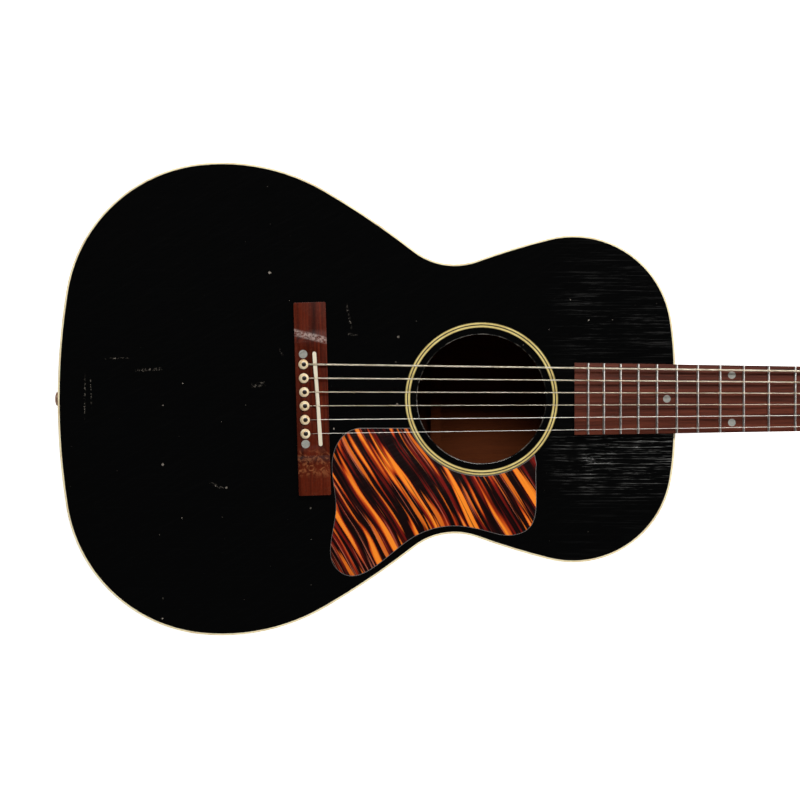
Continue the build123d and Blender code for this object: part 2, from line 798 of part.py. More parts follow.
def squircle(x, half_width, depth, power):
    """Cross-section of the neck at x: flat on top, rounded below."""
    steps = 8
    rounded = []
    for step in range(1, steps):
        angle = math.pi * step / steps
        across = math.copysign(abs(math.cos(angle)) ** (2 / power), math.cos(angle))
        rounded.append((half_width * across, -depth * math.sin(angle) ** (2 / power)))
    with BuildSketch(Plane(origin=(x, 0, 0), x_dir=(0, 1, 0), z_dir=(1, 0, 0))) as section:
        with BuildLine() as loop:
            Spline((half_width, 0), *rounded, (-half_width, 0), tangents=[(0, -1), (0, 1)])
            Line((-half_width, 0), (half_width, 0))
        make_face(loop.edges())
    return section.sketch


shaft_sections = (
    (body_length, half_board_width(body_length), 18.5, 2.0),
    (600.0, half_board_width(600.0), 17.6, 2.05),
    (720.0, half_board_width(720.0), 16.6, 2.1),
    (824.0, half_board_width(824.0), 15.6, 2.2),
    (shaft_end, head_root_width / 2 - 0.4, 16.6, 3.2),
)
heel_levels = (-4.0, -14.0, -26.0, -40.0, -56.0, -74.0, -96.0)
heel_foot = neck_depth - 2.0


def heel_section(level):
    """Half ellipse round the heel at a height, longer and wider toward the fingerboard."""
    rise = max(0.0, (heel_foot + level) / heel_foot)
    length = 21.0 + 56.0 * rise ** 3
    half = 15.0 + 10.5 * rise
    with BuildSketch(Plane.XY.offset(level)) as section:
        with BuildLine() as loop:
            EllipticalCenterArc((body_length, 0), length, half, start_angle=-90, arc_size=180)
            Line((body_length, half), (body_length, -half))
        make_face(loop.edges())
    return section.sketch


heel_base = spine_plane.offset(heel_cap_thickness)
with BuildPart() as neck:
    loft([squircle(*section) for section in shaft_sections])
    loft([heel_section(level) for level in heel_levels])
    split(bisect_by=heel_base, keep=Keep.TOP)
    with BuildSketch(head_plane.offset(-head_thickness)) as paddle_wood:
        head_outline(start=-4)
    extrude(paddle_wood.sketch, amount=head_thickness - veneer_thickness)
    with Locations(head_plane.offset(-veneer_thickness)):
        Box(2 * head_length, 100, 40, align=(Align.MIN, Align.CENTER, Align.MIN), mode=Mode.SUBTRACT)
    dovetail(Mode.ADD)
    with Locations(Plane(origin=(rod_start, 0, rod_height), z_dir=(1, 0, 0))):
        Cylinder(rod_bore, nut_x + nut_thickness + 3 - rod_start,
                 align=(Align.CENTER, Align.CENTER, Align.MIN), mode=Mode.SUBTRACT)
    with Locations(head_plane):
        Box(pocket_length, pocket_width, 2 * pocket_depth,
            align=(Align.MIN, Align.CENTER, Align.CENTER), mode=Mode.SUBTRACT)
    with Locations([tuner_plane(number) for number in string_numbers]):
        Cylinder(bushing_radius, 2 * bushing_depth, mode=Mode.SUBTRACT)
        Cylinder(post_radius + 0.5, 60, mode=Mode.SUBTRACT)
    with Locations(*plate_screw_planes, *cover_screw_planes):
        Cylinder(screw_radius, 2 * screw_length, mode=Mode.SUBTRACT)
neck.part.label = "neck"

with BuildPart() as heel_cap:
    add(heel_section(-heel_foot))
    extrude(amount=-20)
    split(bisect_by=heel_base, keep=Keep.BOTTOM)
    split(bisect_by=spine_plane, keep=Keep.TOP)
heel_cap.part.label = "heel_cap"

with BuildPart() as headstock_veneer:
    with BuildSketch(head_plane.offset(-veneer_thickness)) as face_wood:
        head_outline()
        with Locations((0, 0)):
            Rectangle(2 * pocket_length, pocket_width, mode=Mode.SUBTRACT)
    extrude(face_wood.sketch, amount=veneer_thickness)
    with Locations([tuner_plane(number) for number in string_numbers]):
        Cylinder(bushing_radius, 2 * bushing_depth, mode=Mode.SUBTRACT)
    with Locations(cover_screw_planes):
        Cylinder(screw_radius, 2 * screw_length, mode=Mode.SUBTRACT)
headstock_veneer.part.label = "headstock_veneer"

rod_end = nut_x + nut_thickness + 12
with BuildPart() as truss_bar:
    with Locations(Plane(origin=(rod_start, 0, rod_height), z_dir=(1, 0, 0))):
        Cylinder(rod_radius, rod_end - rod_start, align=(Align.CENTER, Align.CENTER, Align.MIN))
with BuildPart() as truss_nut:
    with BuildSketch(Plane(origin=(rod_end - 9, 0, rod_height), x_dir=(0, 1, 0), z_dir=(1, 0, 0))):
        RegularPolygon(rod_nut_radius, 6)
        Circle(rod_radius, mode=Mode.SUBTRACT)
    extrude(amount=8)
truss_rod = Compound(label="truss_rod", children=[truss_bar.part.solid(), truss_nut.part.solid()])

with BuildPart() as truss_rod_cover:
    with BuildSketch(head_plane):
        with BuildLine():
            bell = Polyline((1, 0), (1, cover_half_width), (14, cover_half_width))
            Spline(bell @ 1, (26, 7.2), (38, 5), (43.5, 0), tangents=[(1, 0), (0, -1)])
            mirror(about=Plane.XZ)
        make_face()
    extrude(amount=cover_thickness)
    cover_rim = truss_rod_cover.faces().filter_by(head_plane).sort_by(Axis.Z)[-1].edges()
    chamfer(cover_rim, 0.5)
    with Locations(cover_screw_planes):
        Cylinder(screw_radius, 2 * screw_length, mode=Mode.SUBTRACT)
truss_rod_cover.part.label = "truss_rod_cover"

with BuildPart() as end_pin:
    with BuildSketch(Plane(origin=tail_pin_plane.origin, x_dir=(-1, 0, 0), z_dir=(0, -1, 0))):
        with BuildLine():
            stem = Polyline(
                (-end_pin_length, 0), (-end_pin_length, end_pin_radius), (0, end_pin_radius),
                (0, end_pin_flange), (1.2, end_pin_flange), (1.2, end_pin_head), (2.6, end_pin_head),
            )
            across, rise = cap_middle(end_pin_head, end_pin_reach - 2.6)
            cap = ThreePointArc(stem @ 1, (2.6 + rise, across), (end_pin_reach, 0))
            Line(cap @ 1, stem @ 0)
        make_face()
    revolve(axis=Axis(tail_pin_plane.origin, (-1, 0, 0)))
end_pin.part.label = "end_pin"

# ---- Tuners ----------------------------------------------------------------------------------

wheel_pitch_radius = wheel_module * wheel_teeth / 2
worm_lead = math.pi * wheel_module
worm_thread_length = worm_turns * worm_lead

# Worm along its own z axis, with its middle level with the wheel and its shaft running outward
with BuildPart() as worm_blank:
    with Locations((0, 0, -worm_tail)):
        Cylinder(worm_root, worm_shaft_length, align=(Align.CENTER, Align.CENTER, Align.MIN))
    with BuildLine(mode=Mode.PRIVATE) as thread_path:
        Helix(worm_lead, worm_thread_length, worm_root, center=(0, 0, -worm_thread_length / 2))
    with BuildSketch(Plane(origin=thread_path.line @ 0, x_dir=(1, 0, 0), z_dir=(0, -1, 0))):
        crest = worm_outer - worm_root
        Polygon((-0.2, -0.62), (crest, -0.25), (crest, 0.25), (-0.2, 0.62), align=None)
    sweep(path=thread_path.line, is_frenet=True)

# Worm wheel about its own z axis, with one tooth pointing at the worm
with BuildPart() as wheel_blank:
    wheel_root = wheel_pitch_radius - 0.72
    with BuildSketch(Plane.XY.offset(-wheel_thickness / 2)):
        Circle(wheel_root)
        with PolarLocations(0, wheel_teeth):
            Polygon(
                (wheel_root - 0.4, -0.5), (wheel_pitch_radius + 0.6, -0.25),
                (wheel_pitch_radius + 0.6, 0.25), (wheel_root - 0.4, 0.5), align=None,
            )
        Circle(post_seat, mode=Mode.SUBTRACT)
    extrude(amount=wheel_thickness)

# String post about its own z axis, which starts at the headstock's face
wheel_top = -worm_drop + wheel_thickness / 2
wheel_bottom = -worm_drop - wheel_thickness / 2
collar_top = back_face - 0.3
with BuildPart() as post_blank:
    with BuildSketch(Plane.XZ):
        with BuildLine():
            outline = Polyline(
                (0, wheel_bottom), (post_seat, wheel_bottom), (post_seat, wheel_top),
                (collar_radius, wheel_top), (collar_radius, collar_top), (post_radius, collar_top),
                (post_radius, waist_foot - taper), (post_waist, waist_foot), (post_waist, waist_height),
                (post_radius, waist_height + taper), (post_radius, post_top - tip_rise),
            )
            across, rise = cap_middle(post_radius, tip_rise)
            tip = ThreePointArc(outline @ 1, (across, post_top - tip_rise + rise), (0, post_top))
            Line(tip @ 1, outline @ 0)
        make_face()
    revolve(axis=Axis.Z)
    with Locations(Plane(origin=(0, 0, string_hole_height), z_dir=(1, 0, 0))):
        Cylinder(string_hole_radius, 20, mode=Mode.SUBTRACT)
with BuildPart() as post_screw_blank:
    with Locations((0, 0, wheel_bottom)):
        Cylinder(post_screw_radius, post_screw_height, align=(Align.CENTER, Align.CENTER, Align.MAX))
    with Locations((0, 0, wheel_bottom - post_screw_height)):
        Box(3 * post_screw_radius, post_screw_slot, post_screw_height, mode=Mode.SUBTRACT)

# Cream button on the outer end of the worm's shaft
with BuildPart() as button_blank:
    button_foot = button_start - post_v
    with BuildSketch(Plane.XZ.offset(-button_thickness / 2)):
        with Locations((0, button_foot + button_length / 2)):
            Ellipse(button_width / 2, button_length / 2)
    extrude(amount=button_thickness)
    fillet(button_blank.edges(), button_round)
    with Locations((0, 0, button_foot - 1.4)):
        Cylinder(button_neck, 5, align=(Align.CENTER, Align.CENTER, Align.MIN))
    with Locations((0, 0, button_foot - 10)):
        Cylinder(worm_root, 16, align=(Align.CENTER, Align.CENTER, Align.MIN), mode=Mode.SUBTRACT)

tuner_pieces = []
for number in string_numbers:
    with BuildPart() as tuner_worm:
        with Locations(key_plane(number)):
            add(worm_blank.part)
    tuner_worm.part.label = f"tuner_worm_{number}"
    with BuildPart() as tuner_button:
        with Locations(key_plane(number)):
            add(button_blank.part)
    tuner_button.part.label = f"tuner_button_{number}"
    with BuildPart() as post:
        with Locations(tuner_plane(number)):
            add(post_blank.part)
    with BuildPart() as wheel:
        with Locations(tuner_plane(number).offset(-worm_drop)):
            add(wheel_blank.part)
    with BuildPart() as post_screw:
        with Locations(tuner_plane(number)):
            add(post_screw_blank.part)
    post_solids = [post.part.solid(), wheel.part.solid(), post_screw.part.solid()]
    tuner_post = Compound(label=f"tuner_post_{number}", children=post_solids)
    tuner_pieces += [tuner_worm.part, tuner_button.part, tuner_post]

with BuildPart() as post_bushings:
    with Locations([tuner_plane(number) for number in string_numbers]):
        Cylinder(bushing_radius, bushing_depth, align=(Align.CENTER, Align.CENTER, Align.MAX))
        Cylinder(bushing_flange, 1, align=(Align.CENTER, Align.CENTER, Align.MIN))
        Cylinder(post_radius + running_gap, 40, mode=Mode.SUBTRACT)
post_bushings.part.label = "post_bushings"

tuner_plates = []
for side, side_name in ((1, "bass"), (-1, "treble")):
    numbers = [number for number in string_numbers if tuner_spot(number)[2] == side]
    with BuildPart() as tuner_plate:
        with BuildSketch(head_plane.offset(-head_thickness)):
            with Locations((plate_middle, side * post_v)):
                SlotOverall(plate_length, plate_width)
        extrude(amount=-plate_thickness)
        for number in numbers:
            with Locations(key_plane(number)):
                for place in (-tab_spread, tab_spread):
                    with Locations((0, 0, place)):
                        Box(tab_width, tab_width, tab_thickness)
                        tab_rise = worm_drop + back_face
                        Box(tab_width, tab_rise, tab_thickness, align=tab_align(side))
                Cylinder(worm_root + running_gap, 17, mode=Mode.SUBTRACT)
            with Locations(tuner_plane(number)):
                Cylinder(post_radius + running_gap, 60, mode=Mode.SUBTRACT)
        with Locations(*plate_screw_planes):
            Cylinder(screw_radius, 2 * screw_length, mode=Mode.SUBTRACT)
    tuner_plate.part.label = f"tuner_plate_{side_name}"
    tuner_plates.append(tuner_plate.part)

with BuildPart() as wood_screws:
    with Locations(*plate_screw_planes, *cover_screw_planes):
        Cylinder(screw_radius, screw_length, align=(Align.CENTER, Align.CENTER, Align.MAX))
        Cone(screw_head_radius, 1.3, screw_head_height, align=(Align.CENTER, Align.CENTER, Align.MIN))
        with Locations((0, 0, screw_head_height)):
            Box(6, 0.6, 1.0, mode=Mode.SUBTRACT)
wood_screws.part.label = "wood_screws"

# ---- Strings ---------------------------------------------------------------------------------

strings = []
for number in string_numbers:
    radius = string_radius(number)
    bend = nut_point(number)
    in_head = head_plane.to_local_coords(bend)
    u, v, side = tuner_spot(number)
    coil = post_waist + winding_gap + radius
    reach = math.hypot(u - in_head.X, v - in_head.Y)
    course = math.atan2(v - in_head.Y, u - in_head.X) - side * math.asin(coil / reach)
    run = math.sqrt(reach ** 2 - coil ** 2)
    touch = (in_head.X + run * math.cos(course), in_head.Y + run * math.sin(course))
    start_turn = math.atan2(touch[1] - v, touch[0] - u)
    level = in_head.Z

    def wrap(turn):
        """Point of the last wrap round the post, after a turn from where the string meets it."""
        angle = start_turn + side * math.radians(turn)
        return headstock_point(u + coil * math.cos(angle), v + coil * math.sin(angle), level)

    plate_floor = -top_thickness - bridge_plate_thickness
    foot = flute_point(number, plate_floor - 0.8)
    with BuildPart() as string_run:
        with BuildLine() as course_line:
            corners = FilletPolyline(
                foot, flute_point(number, string_bend_height), saddle_point(number), bend, wrap(0),
                radius=[1.6, 2.5, 8.0],
            )
            ThreePointArc(corners @ 1, wrap(160), wrap(320))
        with BuildSketch(Plane(origin=foot, z_dir=(0, 0, 1))):
            Circle(radius)
        sweep(path=course_line.line)
    with BuildPart() as winding:
        for turn in (1, 2):
            with Locations(tuner_plane(number).offset(level - turn * (2 * radius + 0.03))):
                Torus(coil, radius)
    with BuildPart() as ball:
        with Locations(Plane(origin=foot + Vector(1.15, 0, -1.2), z_dir=(0, 1, 0))):
            Cylinder(ball_radius, ball_length)
    string_solids = [string_run.part.solid(), *winding.part.solids(), ball.part.solid()]
    strings.append(Compound(label=f"string_{number}", children=string_solids))
    swept = course_line.wires()[0].length * math.pi * radius ** 2
    print("string", number, "volume over section times length", string_run.part.volume / swept)

# ---- Laying the guitar down and writing its pieces -------------------------------------------

pieces = [
    soundboard.part, back.part, side_bass.part, side_treble.part, neck_block.part, tail_block.part,
    linings.part, bindings, rosette, pickguard.part, soundboard_braces,
    between_legs, back_bars.part, end_pin.part, bridge.part, saddle.part, *bridge_pins,
    pearl_dots.part, bridge_bolts.part, neck.part, heel_cap.part, fingerboard.part, frets, nut.part,
    truss_rod, truss_rod_cover.part, headstock_veneer.part, *strings, *tuner_pieces, *tuner_plates,
    wood_screws.part, post_bushings.part,
]
laid_down = [piece.rotate(Axis.Y, back_tilt) for piece in pieces]
whole = Compound(laid_down).bounding_box()
middle = (whole.min + whole.max) / 2
os.makedirs("parts", exist_ok=True)
for piece, placed in zip(pieces, laid_down):
    placed = placed.translate((-middle.X, 0, -whole.min.Z))
    placed.label = piece.label
    export_step(placed, f"parts/{piece.label}.step")
print("pieces", len(pieces), "size", whole.size, "shift", -middle.X, -whole.min.Z)
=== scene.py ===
import json
import math

import bmesh
import bpy
from mathutils import Matrix, Vector
from mathutils.bvhtree import BVHTree


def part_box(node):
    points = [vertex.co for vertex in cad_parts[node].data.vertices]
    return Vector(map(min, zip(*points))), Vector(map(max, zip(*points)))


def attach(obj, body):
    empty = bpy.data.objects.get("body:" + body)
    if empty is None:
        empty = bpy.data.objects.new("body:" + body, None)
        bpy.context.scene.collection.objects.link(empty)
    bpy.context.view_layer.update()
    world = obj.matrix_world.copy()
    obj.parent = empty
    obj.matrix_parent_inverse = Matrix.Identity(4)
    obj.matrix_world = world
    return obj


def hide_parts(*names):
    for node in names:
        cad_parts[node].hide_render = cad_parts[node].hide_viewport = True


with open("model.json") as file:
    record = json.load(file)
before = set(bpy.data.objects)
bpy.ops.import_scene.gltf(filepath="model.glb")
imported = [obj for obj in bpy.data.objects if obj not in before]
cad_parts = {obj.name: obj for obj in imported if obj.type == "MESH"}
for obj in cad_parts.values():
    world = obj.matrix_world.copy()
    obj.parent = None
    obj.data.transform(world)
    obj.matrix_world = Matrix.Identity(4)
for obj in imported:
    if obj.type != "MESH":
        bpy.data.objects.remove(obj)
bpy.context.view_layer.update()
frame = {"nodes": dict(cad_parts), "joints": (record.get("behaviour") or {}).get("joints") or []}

# Looks of the flat-top guitar. The CAD model gives every shape that bears, fits or moves; this
# script gives each node its material and stands finished pieces in for the strings and for the
# parts whose edges are rounded on the real instrument.
#
# The scene is in metres, and MM is one millimetre. The bench frame is the CAD's drawing frame: x
# from the tail to the headstock, y to the bass side, z out of the soundboard, with z = 0 on its top
# face.

MM = 0.001
nodes = frame["nodes"]
joints = {joint["name"]: joint for joint in frame["joints"]}

# ---- Bench frame, found from the model --------------------------------------------------------

TOP_NORMAL = Vector(joints["pin_1_pull"]["axis"])
TILT = math.atan2(TOP_NORMAL.x, TOP_NORMAL.z)
TAIL_DEPTH = 108 * MM  # of the body at its tail, where it rests on the floor
tail_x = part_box("bindings")[0][0] + TAIL_DEPTH * math.sin(TILT)
BENCH_ORIGIN = Vector((tail_x, 0, TAIL_DEPTH * math.cos(TILT)))
BENCH = Matrix.Translation(BENCH_ORIGIN) @ Matrix.Rotation(TILT, 4, "Y")
TO_BENCH = BENCH.inverted()

# Dimensions of the CAD model, in mm in the bench frame
HOLE_X = 336.0
HOLE_RADIUS = 51.0
ROSETTE_RADII = (56.45, 58.25, 59.0, 60.8)
BRIDGE_X = 201.9
BRIDGE_TURN = math.radians(1.64)
HEAD_X = 844.7
HEAD_ANGLE = math.radians(15)
CROWN_RADIUS = 406.0  # of the curve across the saddle and the nut
SADDLE_X = 206.1
SADDLE_SLANT = math.radians(4)
SADDLE_TOP = 11.4
SADDLE_SPACING = 10.94
NUT_CREST_X = 840.8
NUT_TOP = 7.45
NUT_SPACING = 7.34
FLUTE_OFFSET = 1.75
PIN_HEAD_TOP = 9.5

# The strings, from the first to the sixth
STRING_DIAMETERS = (0.30, 0.41, 0.61, 0.81, 1.07, 1.35)
STRING_TURNS = (4, 4, 3, 3, 2, 2)
WOUND_FROM = 3
WRAP_PITCH = 0.34
POST_WAIST = 2.7
STRING_HOLE_HEIGHT = 9.5
BALL_RADIUS = 1.9


# ---- Camera, lights and floor -----------------------------------------------------------------

VIEW_CENTRE = BENCH @ (Vector((271.4, -0.9, 0)) * MM)  # the middle of the picture
VIEW_WIDTH = 634 * MM
VIEW_DISTANCE = 8.0
SENSOR = 36.0


def make_camera():
    """Long lens looking straight down on the soundboard, with the neck to the right."""
    data = bpy.data.cameras.new("camera")
    data.sensor_width = SENSOR
    data.lens = SENSOR * VIEW_DISTANCE / VIEW_WIDTH
    data.clip_end = 50
    camera = bpy.data.objects.new("camera", data)
    bpy.context.scene.collection.objects.link(camera)
    camera.matrix_world = (
        Matrix.Translation(VIEW_CENTRE + TOP_NORMAL * VIEW_DISTANCE) @ Matrix.Rotation(TILT, 4, "Y")
    )
    bpy.context.scene.camera = camera


def area_light(name, place, target, size, power, colour=(1, 1, 1)):
    """Soft rectangular light at a place, facing a target."""
    data = bpy.data.lights.new(name, "AREA")
    data.shape = "RECTANGLE"
    data.size = size[0]
    data.size_y = size[1]
    data.energy = power
    data.color = colour
    light = bpy.data.objects.new(name, data)
    bpy.context.scene.collection.objects.link(light)
    light.location = place
    light.rotation_euler = (Vector(target) - Vector(place)).to_track_quat("-Z", "Y").to_euler()


def make_floor():
    """Pale floor that the back rests on."""
    mesh = bpy.data.meshes.new("floor")
    floor = bpy.data.objects.new("floor", mesh)
    bpy.context.scene.collection.objects.link(floor)
    form = bmesh.new()
    bmesh.ops.create_grid(form, x_segments=1, y_segments=1, size=12)
    form.to_mesh(mesh)
    form.free()
    material, _, shader = new_material("floor_white")
    shader.inputs["Base Color"].default_value = (0.86, 0.86, 0.86, 1)
    shader.inputs["Roughness"].default_value = 0.9
    shader.inputs["Specular IOR Level"].default_value = 0.1
    shader.inputs["Emission Color"].default_value = (1, 1, 1, 1)
    shader.inputs["Emission Strength"].default_value = 0.85
    mesh.materials.append(material)


def make_lights():
    """High key light on the bass side, which reaches in at the soundhole, and two lower fills."""
    area_light("light_key", (0.0, 1.55, 2.0), (-0.1, 0, 0.08), (1.6, 0.5), 62, (1.0, 0.985, 0.96))
    area_light("light_treble", (0.1, -1.9, 0.95), (0, 0, 0.08), (2.2, 0.5), 20, (1.0, 0.985, 0.96))
    area_light("light_neck", (2.1, 0.5, 0.9), (0.1, 0, 0.08), (0.8, 1.4), 20)
    world = bpy.data.worlds.new("studio")
    world.use_nodes = True
    world.node_tree.nodes["Background"].inputs["Color"].default_value = (0.9, 0.95, 1.0, 1)
    world.node_tree.nodes["Background"].inputs["Strength"].default_value = 0.03
    bpy.context.scene.world = world
    bpy.context.scene.view_settings.view_transform = "Standard"


# ---- Node helpers -----------------------------------------------------------------------------


def new_material(name):
    """Material with a Principled shader: returns it with its node tree and shader."""
    material = bpy.data.materials.new(name)
    material.use_nodes = True
    tree = material.node_tree
    return material, tree, tree.nodes["Principled BSDF"]


def add(tree, kind, inputs=None, **settings):
    """Node with settings and inputs; an input may be another node's output."""
    node = tree.nodes.new("ShaderNode" + kind)
    for key, value in settings.items():
        setattr(node, key, value)
    for key, value in (inputs or {}).items():
        if isinstance(value, bpy.types.NodeSocket):
            tree.links.new(value, node.inputs[key])
        else:
            node.inputs[key].default_value = value
    return node


def maths(tree, operation, first, second=0.0, third=None, clamp=False):
    """Result of a Math node."""
    inputs = {0: first, 1: second}
    if third is not None:
        inputs[2] = third
    return add(tree, "Math", inputs, operation=operation, use_clamp=clamp).outputs[0]


def bench_mm(tree):
    """Shader position in the bench frame, in millimetres."""
    here = add(tree, "TexCoord").outputs["Object"]
    inputs = {"Vector": here, "Location": BENCH_ORIGIN, "Rotation": (0, TILT, 0), "Scale": (MM, MM, MM)}
    return add(tree, "Mapping", inputs, vector_type="TEXTURE").outputs["Vector"]


def placed(tree, vector, location=(0, 0, 0), rotation=(0, 0, 0), scale=(1, 1, 1)):
    """Vector moved into another frame: taken from its place, turned back and scaled."""
    inputs = {"Vector": vector, "Location": location, "Rotation": rotation}
    turned = add(tree, "Mapping", inputs, vector_type="TEXTURE").outputs["Vector"]
    return add(tree, "Mapping", {"Vector": turned, "Scale": scale}).outputs["Vector"]


def noise(tree, vector, scale, detail=3.0, roughness=0.55, distortion=0.0, output="Fac"):
    """Noise texture value."""
    inputs = {
        "Vector": vector, "Scale": scale, "Detail": detail, "Roughness": roughness, "Distortion": distortion,
    }
    return add(tree, "TexNoise", inputs).outputs[output]


def ramp(tree, value, stops):
    """Colour ramp over a value; stops are (position, colour or grey)."""
    node = add(tree, "ValToRGB", {"Fac": value})
    elements = node.color_ramp.elements
    while len(elements) < len(stops):
        elements.new(0.5)
    for element, (position, colour) in zip(elements, stops):
        element.position = position
        shade = (colour, colour, colour) if isinstance(colour, (int, float)) else colour
        element.color = (*shade, 1)
    return node.outputs["Color"]


def mix(tree, factor, first, second, blend="MIX"):
    """Mix of two colours; a colour may be a tuple or an output."""
    node = add(tree, "Mix", {"Factor": factor}, data_type="RGBA", blend_type=blend)
    for socket, value in ((node.inputs[6], first), (node.inputs[7], second)):
        if isinstance(value, bpy.types.NodeSocket):
            tree.links.new(value, socket)
        else:
            socket.default_value = (*value, 1)
    return node.outputs[2]


def bump(tree, shader, layers):
    """Bump layers on a shader: each is (height, strength, distance in mm)."""
    normal = None
    for height, strength, distance in layers:
        inputs = {"Height": height, "Strength": strength, "Distance": distance * MM}
        if normal is not None:
            inputs["Normal"] = normal
        normal = add(tree, "Bump", inputs).outputs["Normal"]
    tree.links.new(normal, shader.inputs["Normal"])


def near(tree, value, centre, half):
    """1 where a value is within half of a centre, falling to 0 over the same distance again."""
    away = maths(tree, "ABSOLUTE", maths(tree, "SUBTRACT", value, centre))
    return maths(tree, "SUBTRACT", 2.0, maths(tree, "DIVIDE", away, half), clamp=True)


def rise(tree, value, low, high):
    """0 below low, 1 above high, and smooth between them; low may be the larger."""
    inputs = {"Value": value, "From Min": low, "From Max": high}
    return add(tree, "MapRange", inputs, interpolation_type="SMOOTHSTEP").outputs["Result"]


def product(tree, *values):
    """Values multiplied together."""
    result = values[0]
    for value in values[1:]:
        result = maths(tree, "MULTIPLY", result, value)
    return result


def highest(tree, *values):
    """The largest of the values."""
    result = values[0]
    for value in values[1:]:
        result = maths(tree, "MAXIMUM", result, value)
    return result


def split_xyz(tree, vector):
    """The three parts of a vector."""
    return add(tree, "SeparateXYZ", {"Vector": vector}).outputs


def plan_distance(tree, here, centre):
    """Distance in plan from a point of the soundboard."""
    x, y = split_xyz(tree, here)[:2]
    flat = add(tree, "CombineXYZ", {"X": x, "Y": y}).outputs[0]
    inputs = {0: flat, 1: (*centre, 0.0)}
    return add(tree, "VectorMath", inputs, operation="DISTANCE").outputs["Value"]


# ---- Materials --------------------------------------------------------------------------------


def lacquer_shader(name):
    """Old black lacquer: returns its material, tree and shader, the place, colour, scuffs and checks."""
    material, tree, shader = new_material(name)
    here = bench_mm(tree)
    scuff = noise(tree, placed(tree, here, rotation=(0, 0, 0.5), scale=(0.05, 1, 1)), 0.5, 5, 0.7)
    base = mix(
        tree, rise(tree, scuff, 0.5, 0.8), (0.0006, 0.0006, 0.0006), (0.0012, 0.0011, 0.0011)
    )
    checks = add(
        tree, "TexVoronoi", {"Vector": placed(tree, here, scale=(0.16, 0.035, 0.1)), "Scale": 1.0},
        feature="DISTANCE_TO_EDGE",
    ).outputs["Distance"]
    check_lines = rise(tree, checks, 0.0, 0.012)
    return material, tree, shader, here, base, scuff, check_lines


def finish_lacquer(tree, shader, base, scuff, check_lines, bare, bare_colour, layers):
    """Joins lacquer and the spots where it is worn through (on the soundboard also the painted highlight of
    the soundhole's rim) to one colour, gloss and bump.
    """
    tree.links.new(mix(tree, bare, base, bare_colour), shader.inputs["Base Color"])
    gloss = maths(tree, "MULTIPLY_ADD", scuff, 0.12, 0.07)
    rough = maths(tree, "MULTIPLY_ADD", bare, 0.5, gloss)
    tree.links.new(rough, shader.inputs["Roughness"])
    bump(tree, shader, [
        *layers, (check_lines, 0.12, 0.02), (maths(tree, "SUBTRACT", 1.0, bare), 0.6, 0.1),
    ])


def body_lacquer():
    """Lacquer of the back, sides and neck, with a few small chips."""
    material, tree, shader, here, base, scuff, check_lines = lacquer_shader("body_lacquer")
    field = noise(tree, here, 0.34, 3, 0.6, 0.3)
    zone = noise(tree, here, 0.02, 2, 0.5)
    bare = rise(tree, maths(tree, "MULTIPLY_ADD", zone, 0.25, field), 0.935, 0.95)
    colour = mix(tree, noise(tree, here, 1.2, 3), (0.20, 0.12, 0.07), (0.42, 0.34, 0.26))
    ripple = noise(tree, placed(tree, here, scale=(0.03, 1, 0.3)), 0.8, 3, 0.55)
    finish_lacquer(tree, shader, base, scuff, check_lines, bare, colour, [(ripple, 0.12, 0.06)])
    return material


def scratch_mask(tree, here, x, y, angle, length, width):
    """One scratch: a thin broken line about a point of the soundboard."""
    local = placed(tree, here, location=(x, y, 0), rotation=(0, 0, math.radians(angle)))
    along, across = split_xyz(tree, local)[:2]
    return product(tree, near(tree, along, 0.0, length / 4), near(tree, across, 0.0, width / 2))


# Scratches of the soundboard: x, y, angle, length and width in the bench frame, in mm
SCRATCHES = (
    (22.5, 3.0, 89.0, 40.0, 0.7),
    (27.5, 6.0, 92.0, 26.0, 0.5),
    (48.0, 33.0, 1.0, 20.0, 0.6),
    (73.0, 24.0, 4.0, 24.0, 1.3),
    (127.0, -68.0, -24.0, 13.0, 1.1),
    (232.0, 66.0, -78.0, 22.0, 0.9),
    (235.0, 52.0, 3.0, 9.0, 1.2),
    (160.0, 12.0, 8.0, 12.0, 2.2),
    (178.0, 38.0, -60.0, 8.0, 0.8),
)


